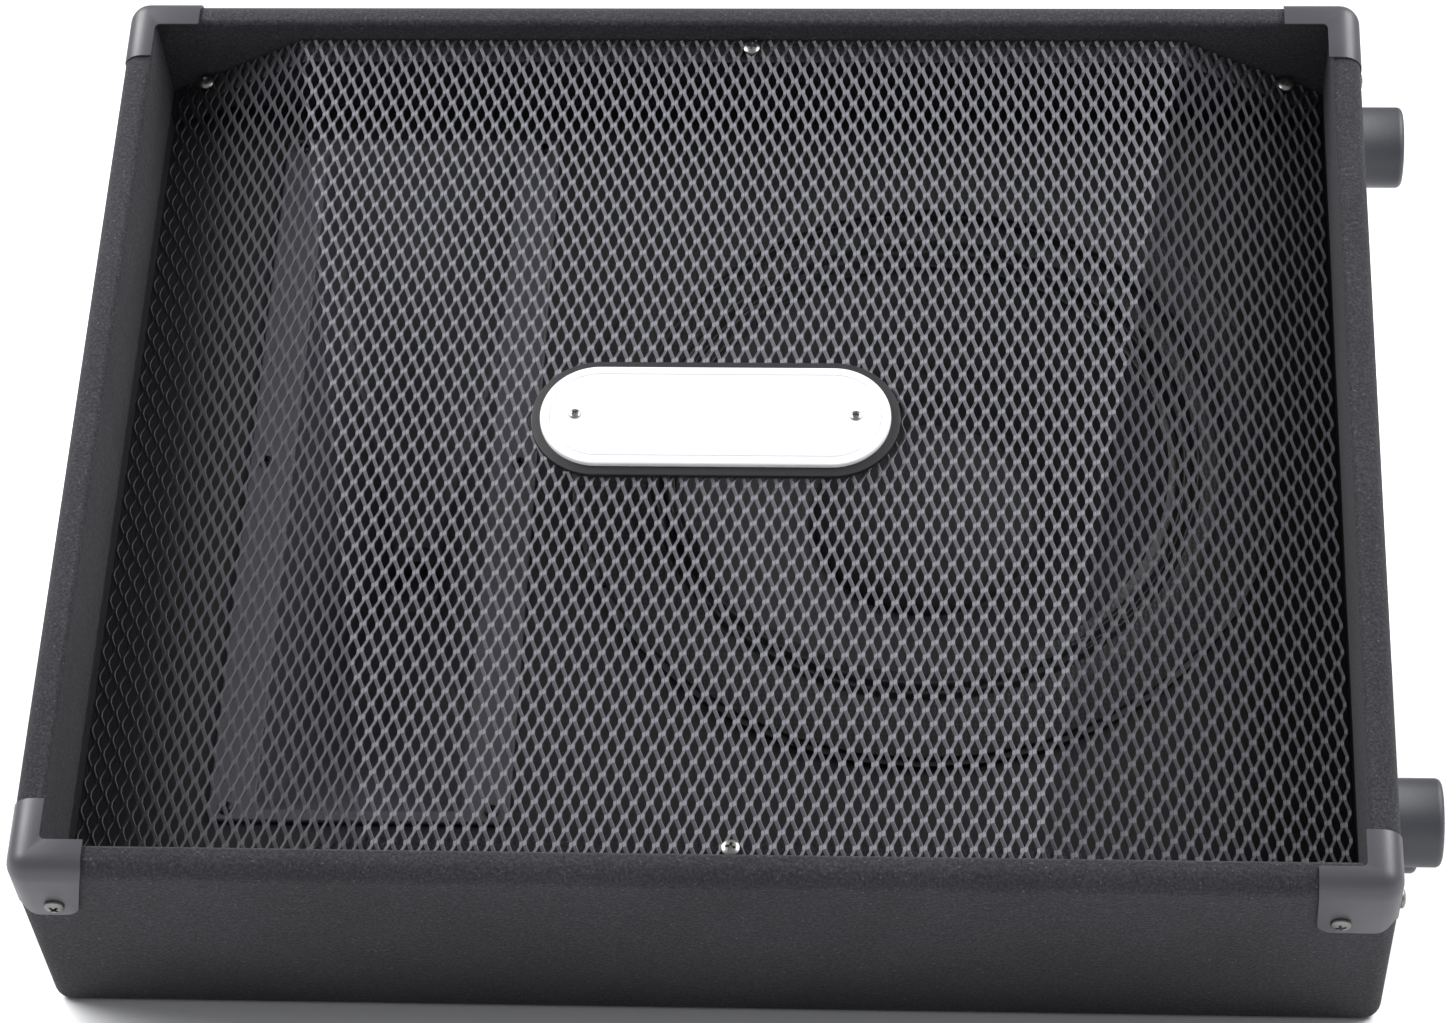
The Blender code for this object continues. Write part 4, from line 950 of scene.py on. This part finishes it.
class WEDGE_OT_standing_feet(bpy.types.Operator):
    """Four moulded feet on the right side, each with a screw in its recess"""
    bl_idname = "wedge.standing_feet"
    bl_label = "Standing feet"

    def execute(self, context):
        edge, recess, recess_depth, lead = 0.0032, 0.0085, 0.012, 0.0012
        places = []
        for index in range(1, 5):
            node = f"side_foot_{index}"
            low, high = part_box(node)
            middle = (low + high) / 2
            radius, height = (high.y - low.y) / 2, high.x - RIGHT
            draft = 0.0004
            profile = [(0.0, TOUCH), (radius, TOUCH), (radius, 0.0015), (radius - draft, 0.0022)]
            profile += arc((radius - edge - draft, height - edge), edge, 0.0, pi / 2, 6)
            profile += arc((recess + lead, height - lead), lead, pi / 2, pi, 3)
            profile += [(recess, height - recess_depth), (0.0, height - recess_depth)]
            foot = as_object(f"standing_foot_{index}", turned(profile, 56))
            matrix = Matrix.Translation((RIGHT, middle.y, middle.z)) @ Matrix.Rotation(pi / 2, 4, "Y")
            finished(foot, "satin_grey_rubber", (node,), matrix)
            places.append((matrix @ Vector((0, 0, height - recess_depth)), Vector((1, 0, 0))))
        screws("foot_screws", places, "bright_zinc_plated_steel", 1.1)
        return {"FINISHED"}


class WEDGE_OT_nameplate(bpy.types.Operator):
    """Blank enamelled nameplate on a black backing"""
    bl_idname = "wedge.nameplate"
    bl_label = "Blank nameplate"

    def execute(self, context):
        groove, groove_depth, slant, groove_width = 0.0045, 0.0006, 0.0004, 0.0014
        for node, name, material, slot, round_off in (
            ("badge_backing", "nameplate_backing", "black_abs", "black_plastic", 0.0006),
            ("badge_plate", "nameplate", "white_enamel", "badge_enamel", 0.0012),
        ):
            low, high = box_of_slope(node)
            middle = (low + high) / 2
            width, height = high.x - low.x, high.y - low.y
            levels = [(0.0, low.z)]
            for step in range(4):
                angle = pi / 2 * step / 3
                levels.append((round_off * (1 - cos(angle)), high.z - round_off * (1 - sin(angle))))
            if name == "nameplate":
                levels += [(groove, high.z), (groove + slant, high.z - groove_depth)]
                levels += [
                    (groove + groove_width - slant, high.z - groove_depth), (groove + groove_width, high.z),
                ]
            loops = []
            for inset, level in levels:
                w, h = width - 2 * inset, height - 2 * inset
                loops.append([(a, b, level) for a, b in rounded_rectangle(w, h, h / 2 - 0.0001, 20)])
            plate = as_object(name, lofted(loops))
            shift = Matrix.Translation((middle.x, middle.y, 0.0))
            finished(plate, material, (node,), slope_matrix() @ shift)
        places = []
        for sign in (-1, 1):
            seat = Vector((middle.x + sign * (high.x - low.x) * 0.40, middle.y, high.z - 0.0004))
            places.append((slope_matrix() @ seat, AXIS))
        screws("nameplate_screws", places, "bright_zinc_plated_steel", 0.62)
        return {"FINISHED"}


# Woofer


def ripple(start, end, height, count, steps, first, last):
    """Corrugations between two radii, on a level that goes from first to last."""
    points = []
    for i in range(steps + 1):
        share = i / steps
        level = first + (last - first) * share + height * (1 - cos(2 * pi * count * share)) / 2
        points.append((start + (end - start) * share, level))
    return points


def sheet_section(points, thickness):
    upper = [(r, z + thickness / 2) for r, z in points]
    return upper + [(r, z - thickness / 2) for r, z in reversed(points)]


def radial_extent(node):
    """Smallest and largest radius, and lowest and highest level, of a CAD node round the woofer's axis."""
    back = driver_matrix("woofer_frame").inverted()
    points = [back @ vertex.co for vertex in frame["nodes"][node].data.vertices]
    radii, levels = [p.xy.length for p in points], [p.z for p in points]
    return min(radii), max(radii), min(levels), max(levels)


def flexing_ring(name, node, section, sides, material, inner, outer):
    """A turned ring round the woofer's axis that takes the place of a CAD node; each point's share of the
    way from its outer to its inner edge is worked out and then not used.
    """
    axis = driver_matrix("woofer_frame")
    obj = as_object(name, turned(section, sides))
    obj.data.transform(axis)
    obj.data.materials.append(finish(material))
    shaded(obj.data, 50.0)
    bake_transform(obj)
    back = axis.inverted()
    for vertex in obj.data.vertices:
        share = (outer - (back @ vertex.co).xy.length) / (outer - inner)
        share = min(1.0, max(0.0, share))
    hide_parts(node)


class WEDGE_OT_woofer_cone(bpy.types.Operator):
    """Ribbed paper cone, dust cap, doped surround and spider"""
    bl_idname = "wedge.woofer_cone"
    bl_label = "Woofer cone"

    def execute(self, context):
        axis = driver_matrix("woofer_frame")
        neck, edge, _, top = radial_extent("woofer_cone")
        depth, curve, ribs, rib_height, thick, steps = 0.084, 1.15, 7, 0.0007, 0.0011, 60
        upper = []
        for i in range(steps + 1):
            share = i / steps
            level = top - depth * (1 - share) ** curve
            fade = sin(pi * share) ** 0.5
            bump = rib_height * fade * cos(2 * pi * ribs * share)
            upper.append((neck + (edge - neck) * share, level + bump - rib_height))
        lower = [(r, z - thick) for r, z in reversed(upper)]
        cone = as_object("paper_cone", turned(upper + lower, 96))
        finished(cone, "dyed_pulp_paper", ("woofer_cone",), axis, body=CONE)

        _, cap_radius, cap_level, cap_top = radial_extent("woofer_dust_cap")
        steps, thick = 14, 0.0009
        seat = cap_level + thick
        outer = []
        for i in range(steps):
            angle = pi / 2 * i / steps
            outer.append((cap_radius * sin(angle), seat + (cap_top - cap_level - thick) * cos(angle)))
        outer += [(cap_radius, seat + 0.0004), (cap_radius + 0.003, seat)]
        inner = [(max(0.0, r - thick), z - thick) for r, z in reversed(outer)]
        cap = as_object("dust_cap", turned(outer + inner, 80))
        finished(cap, "dyed_pulp_paper", ("woofer_dust_cap",), axis, body=CONE)

        inner_radius, outer_radius, _, _ = radial_extent("woofer_surround")
        shelf, roll_end = -0.0012, 0.1505
        rolls = ripple(inner_radius, roll_end, 0.0046, 2, 32, -0.0050, shelf)
        section = sheet_section([(edge - 0.004, -0.0030), *rolls, (outer_radius, shelf)], 0.0008)
        flexing_ring("cloth_surround", "woofer_surround", section, 120, "doped_cotton_cloth",
                     inner_radius, roll_end)

        gasket = merged_copy("gasket_ring", "woofer_gasket")
        soften(gasket, 0.0008)
        finished(gasket, "black_felt_gasket", ("woofer_gasket",))

        inner_radius, outer_radius, low, _ = radial_extent("woofer_spider")
        level, fold_start, fold_end = low + 0.0003, 0.040, 0.090
        folds = ripple(fold_start, fold_end, 0.0024, 7, 84, level, level)
        section = sheet_section([(inner_radius, level), *folds, (outer_radius, level)], 0.0005)
        flexing_ring("cloth_spider", "woofer_spider", section, 72, "phenolic_dipped_cloth",
                     inner_radius, fold_end)
        return {"FINISHED"}


class WEDGE_OT_woofer_frame(bpy.types.Operator):
    """Stamped basket, mounting screws and the motor's finishes"""
    bl_idname = "wedge.woofer_frame"
    bl_label = "Woofer frame"

    def execute(self, context):
        basket = merged_copy("stamped_basket", "woofer_frame")
        soften(basket, 0.0007, 2, 45.0)
        finished(basket, "black_stamped_steel", ("woofer_frame",))
        repaint("yellow_zinc_plated_steel", "woofer_top_plate", "woofer_back_plate")
        repaint("sintered_ferrite", "woofer_magnet")
        repaint("enamelled_copper_wire", "woofer_voice_coil")
        axis = driver_matrix("woofer_frame")
        _, radius, _, top = radial_extent("woofer_frame")
        count, inset, sink, twist = 8, 0.0045, 0.0002, radians(3.0)
        places = []
        for index in range(count):
            angle = 2 * pi * (index + 0.5) / count + twist
            seat = Vector(((radius - inset) * cos(angle), (radius - inset) * sin(angle), top - sink))
            places.append((axis @ seat, AXIS))
        screws("woofer_screws", places, "black_zinc_plated_steel", 0.85)
        return {"FINISHED"}


# Horn and driver


def horn_loop(half_width, half_height, radius, bow, depth):
    """A rounded rectangle at one depth whose long sides bow inwards by bow at mid height."""
    corner_steps, side_steps = 10, 24
    corners = ((1, 1), (-1, 1), (-1, -1), (1, -1))
    outline = []
    for quarter, (sign_x, sign_y) in enumerate(corners):
        centre = (sign_x * (half_width - radius), sign_y * (half_height - radius))
        outline += arc(centre, radius, quarter * pi / 2, (quarter + 1) * pi / 2, corner_steps)
        if quarter % 2:
            x, start = outline[-1]
            for step in range(1, side_steps):
                outline.append((x, start * (1 - 2 * step / side_steps)))
    placed = []
    for a, b in outline:
        pinch = bow * cos(pi / 2 * min(1.0, abs(b) / half_height)) ** 2
        placed.append((a - pinch if a > 0 else a + pinch, b, depth))
    return placed


class WEDGE_OT_horn(bpy.types.Operator):
    """Tall moulded horn with a bowed slot, its fixing screws and the driver behind it"""
    bl_idname = "wedge.horn"
    bl_label = "Horn"

    def execute(self, context):
        low, high = box_of_slope("horn")
        axis = driver_matrix("horn")
        half_w, half_h = (high.x - low.x) / 2, (high.y - low.y) / 2
        mouth_w, mouth_h, wall, corner, edge = 0.055, 0.2155, 0.003, 0.005, 0.0008
        flange, throat_flange, throat_end = 0.0033, -0.112, -0.118
        inner = [(mouth_w, mouth_h, corner, 0.0, flange)]
        for less_w, less_h, radius, bow, depth in (
            (0.0008, 0.0008, corner, 0.0, flange - edge),
            (0.0020, 0.008, corner, 0.0, -0.010),
            (0.0030, 0.018, corner, 0.0, -0.022),
            (0.0040, 0.032, corner, 0.001, -0.036),
            (0.0055, 0.050, corner, 0.002, -0.050),
            (0.0080, 0.070, corner, 0.003, -0.064),
            (0.0130, 0.094, corner, 0.003, -0.078),
            (0.0240, 0.124, 0.006, 0.002, -0.090),
        ):
            inner.append((mouth_w - less_w, mouth_h - less_h, radius, bow, depth))
        inner += [
            (0.0210, 0.060, 0.010, 0.0, -0.101),
            (0.0145, 0.028, 0.012, 0.0, -0.110),
            (0.0127, 0.0127, 0.0126, 0.0, throat_end),
        ]
        outer = [
            (half_w - edge, half_h - edge, corner, 0.0, flange),
            (half_w, half_h, corner, 0.0, flange - edge),
            (half_w, half_h, corner, 0.0, TOUCH),
            (mouth_w + wall - 0.001, mouth_h + 0.0015, 0.006, 0.0, TOUCH),
        ]
        for width, height, radius, bow, depth in inner[2:-1]:
            outer.append((width + wall, height + wall, radius + wall, bow, depth - 0.001))
        for radius, depth in (
            (0.0187, throat_flange), (0.0360, throat_flange - 0.0005), (0.0360, throat_end),
        ):
            outer.append((radius, radius, radius - 0.0001, 0.0, depth))
        made = bmesh.new()
        rings = [ring(made, horn_loop(*row)) for row in outer + inner[::-1]]
        for first, second in zip(rings, rings[1:] + rings[:1]):
            bridge(made, first, second)
        bmesh.ops.recalc_face_normals(made, faces=made.faces)
        horn = as_object("moulded_horn", made)
        finished(horn, "charcoal_moulded_abs", ("horn",), axis, smooth=35.0)
        screw_x, screw_up = 0.0695, 0.215
        places = [
            (axis @ Vector((x, up, flange)), AXIS)
            for x in (-screw_x, screw_x) for up in (-screw_up, 0.0, screw_up)
        ]
        screws("horn_screws", places, "black_zinc_plated_steel", 0.75)
        repaint("clear_zinc_plated_steel", "driver_front_plate", "driver_rear_plate", "driver_pole")
        repaint("sintered_ferrite", "driver_magnet")
        repaint("black_abs", "driver_phase_plug", "driver_back_cover")
        repaint("formed_titanium_foil", "driver_diaphragm")
        return {"FINISHED"}


# Crossover, input plate and pocket handle


class WEDGE_OT_crossover(bpy.types.Operator):
    """Finishes of the crossover board and its parts"""
    bl_idname = "wedge.crossover"
    bl_label = "Crossover"

    def execute(self, context):
        repaint("glass_epoxy_laminate", "crossover_board")
        repaint("enamelled_copper_wire", "crossover_inductor_1", "crossover_inductor_2")
        repaint("polyester_film_wrap", "crossover_capacitor_1", "crossover_capacitor_2")
        repaint("cement_resistor_body", "crossover_resistor")
        return {"FINISHED"}


class WEDGE_OT_input_plate(bpy.types.Operator):
    """Connector plate with two phone sockets, one twist-lock socket and four screws"""
    bl_idname = "wedge.input_plate"
    bl_label = "Input plate"

    def execute(self, context):
        low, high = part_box("input_plate")
        plate = merged_copy("connector_plate", "input_plate")
        soften(plate, 0.0004, 2, 45.0)
        finished(plate, "black_powder_coated_steel", ("input_plate",))
        for name in ("phone_socket_1", "phone_socket_2", "twist_lock_socket"):
            body = merged_copy(name.replace("socket", "socket_body"), name)
            soften(body, 0.0004, 2, 45.0)
            finished(body, "black_abs", (name,))
            self.trim(name, high.y)
        inset = 0.008
        places = [
            (Vector((x, high.y, z)), Vector((0, 1, 0)))
            for x in (low.x + inset, high.x - inset) for z in (low.z + inset, high.z - inset)
        ]
        screws("input_plate_screws", places, "black_zinc_plated_steel", 0.75)
        return {"FINISHED"}

    def trim(self, name, face):
        """A threaded nut round a phone socket, or the keyed bush inside the twist-lock socket."""
        low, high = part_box(name)
        middle = (low + high) / 2
        rise = high.y - face
        lay = Matrix.Translation((middle.x, face, middle.z)) @ Matrix.Rotation(-pi / 2, 4, "X")
        if "phone" in name:
            hexagon = arc((0.0, 0.0), 0.0072, 0.0, 2 * pi * 5 / 6, 5)
            nut = slab(hexagon, rise + 0.0001, rise + 0.0022)
            nut = as_object(name.replace("socket", "socket_nut"), nut)
            bore_radius = 0.0042
            profile = [(0, -0.01), (bore_radius, -0.01), (bore_radius, 0.02), (0, 0.02)]
            bore = as_object("nut_bore", turned(profile, 32))
            cut(nut, bore)
            soften(nut, 0.0003)
            finished(nut, "nickel_plated_brass", (), lay)
        else:
            profile = [(0.0, -0.020), (0.0052, -0.020), (0.0052, 0.0015), (0.0040, 0.0025), (0.0, 0.0025)]
            core = as_object("twist_lock_core", turned(profile, 32))
            keys = as_object("core_key", block((-0.0068, -0.0012, -0.018), (0.0068, 0.0012, 0.0005)))
            cut(core, keys, operation="UNION")
            finished(core, "black_abs", (), lay)


class WEDGE_OT_pocket_handle(bpy.types.Operator):
    """Moulded pocket handle with a rounded grip bar and four screws"""
    bl_idname = "wedge.pocket_handle"
    bl_label = "Pocket handle"

    def execute(self, context):
        low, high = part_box("pocket_handle")
        handle = merged_copy("handle_moulding", "pocket_handle")
        soften(handle, 0.0012, 3, 45.0)
        finished(handle, "black_textured_abs", ("pocket_handle",))
        inset_y, inset_z = 0.007, 0.012
        places = [
            (Vector((low.x, y, z)), Vector((-1, 0, 0)))
            for y in (low.y + inset_y, high.y - inset_y) for z in (low.z + inset_z, high.z - inset_z)
        ]
        screws("handle_screws", places, "black_zinc_plated_steel", 0.9)
        return {"FINISHED"}


# Stage


class WEDGE_OT_stage(bpy.types.Operator):
    """Pale floor, soft studio lights and the camera"""
    bl_idname = "wedge.stage"
    bl_label = "Stage"

    def execute(self, context):
        scene = context.scene
        floor = as_object("floor", slab([(-6, -6), (6, -6), (6, 6), (-6, 6)], -0.02, 0.0))
        # Pale seamless paper: flat, almost white, with a faint cloud in its tone.
        paper, tree, shader, place = new_material("pale_studio_paper")
        cloud = add(tree, NOISE, {"Vector": place, "Scale": 2.0})
        tone = add(tree, RAMP, {"Fac": cloud}, [(0.3, "#f2f2f3"), (0.7, "#f6f6f7")])
        feed(shader, {"Base Color": tone, "Roughness": 0.9})
        floor.data.materials.append(paper)
        world = bpy.data.worlds.new("studio")
        scene.world = world
        world.use_nodes = True
        feed(world.node_tree.nodes["Background"], {"Color": linear("#fafbfd"), "Strength": 0.5})
        scene.view_settings.view_transform = "Standard"
        for name, side, power in (("left_softbox", -1, 82.0), ("right_softbox", 1, 70.0)):
            light = bpy.data.lights.new(name, "AREA")
            light.shape, light.size, light.size_y, light.energy = "RECTANGLE", 2.4, 1.0, power
            lamp = bpy.data.objects.new(name, light)
            place = Vector((side * 1.6, 0.15, 1.8))
            lamp.location = place
            lamp.rotation_euler = (Vector((0, 0, 0.2)) - place).to_track_quat("-Z", "Y").to_euler()
            scene.collection.objects.link(lamp)
        camera = bpy.data.cameras.new("camera")
        camera.lens, camera.sensor_width = 105.0, 36.0
        eye = bpy.data.objects.new("camera", camera)
        azimuth, elevation, roll = radians(3.825), radians(22.22), radians(-0.98)
        back = Vector((sin(azimuth) * cos(elevation), -cos(azimuth) * cos(elevation), sin(elevation)))
        target, distance = Vector((-0.0156, 0.1592, 0.1213)), 2.5
        turn = (-back).to_track_quat("-Z", "Y").to_matrix().to_4x4() @ Matrix.Rotation(roll, 4, "Z")
        eye.matrix_world = Matrix.Translation(target + back * distance) @ turn
        scene.collection.objects.link(eye)
        scene.camera = eye
        return {"FINISHED"}


OPERATORS = (
    WEDGE_OT_stage, WEDGE_OT_carpeted_cabinet, WEDGE_OT_baffle_boards, WEDGE_OT_expanded_grille,
    WEDGE_OT_grille_screws, WEDGE_OT_corner_guards, WEDGE_OT_standing_feet, WEDGE_OT_nameplate,
    WEDGE_OT_woofer_frame, WEDGE_OT_woofer_cone, WEDGE_OT_horn, WEDGE_OT_crossover,
    WEDGE_OT_input_plate, WEDGE_OT_pocket_handle,
)


class WEDGE_PT_panel(bpy.types.Panel):
    """Sizes, colours and one button for each group of pieces"""
    bl_label = "Stage Monitor Wedge"
    bl_idname = "WEDGE_PT_panel"
    bl_space_type = "VIEW_3D"
    bl_region_type = "UI"
    bl_category = "Wedge"

    def draw(self, context):
        layout = self.layout
        for group in (context.scene.wedge_sizes, context.scene.wedge_colours):
            for name in group.__annotations__:
                layout.prop(group, name)
        for operator in OPERATORS:
            layout.operator(operator.bl_idname)


CLASSES = (WedgeSizes, WedgeColours, *OPERATORS, WEDGE_PT_panel)


def register():
    for made in CLASSES:
        bpy.utils.register_class(made)
    bpy.types.Scene.wedge_sizes = bpy.props.PointerProperty(type=WedgeSizes)
    bpy.types.Scene.wedge_colours = bpy.props.PointerProperty(type=WedgeColours)


def unregister():
    del bpy.types.Scene.wedge_colours
    del bpy.types.Scene.wedge_sizes
    for made in reversed(CLASSES):
        bpy.utils.unregister_class(made)


def main():
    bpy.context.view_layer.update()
    register()
    for operator in OPERATORS:
        group, name = operator.bl_idname.split(".")
        getattr(getattr(bpy.ops, group), name)()


if __name__ == "__main__":
    main()
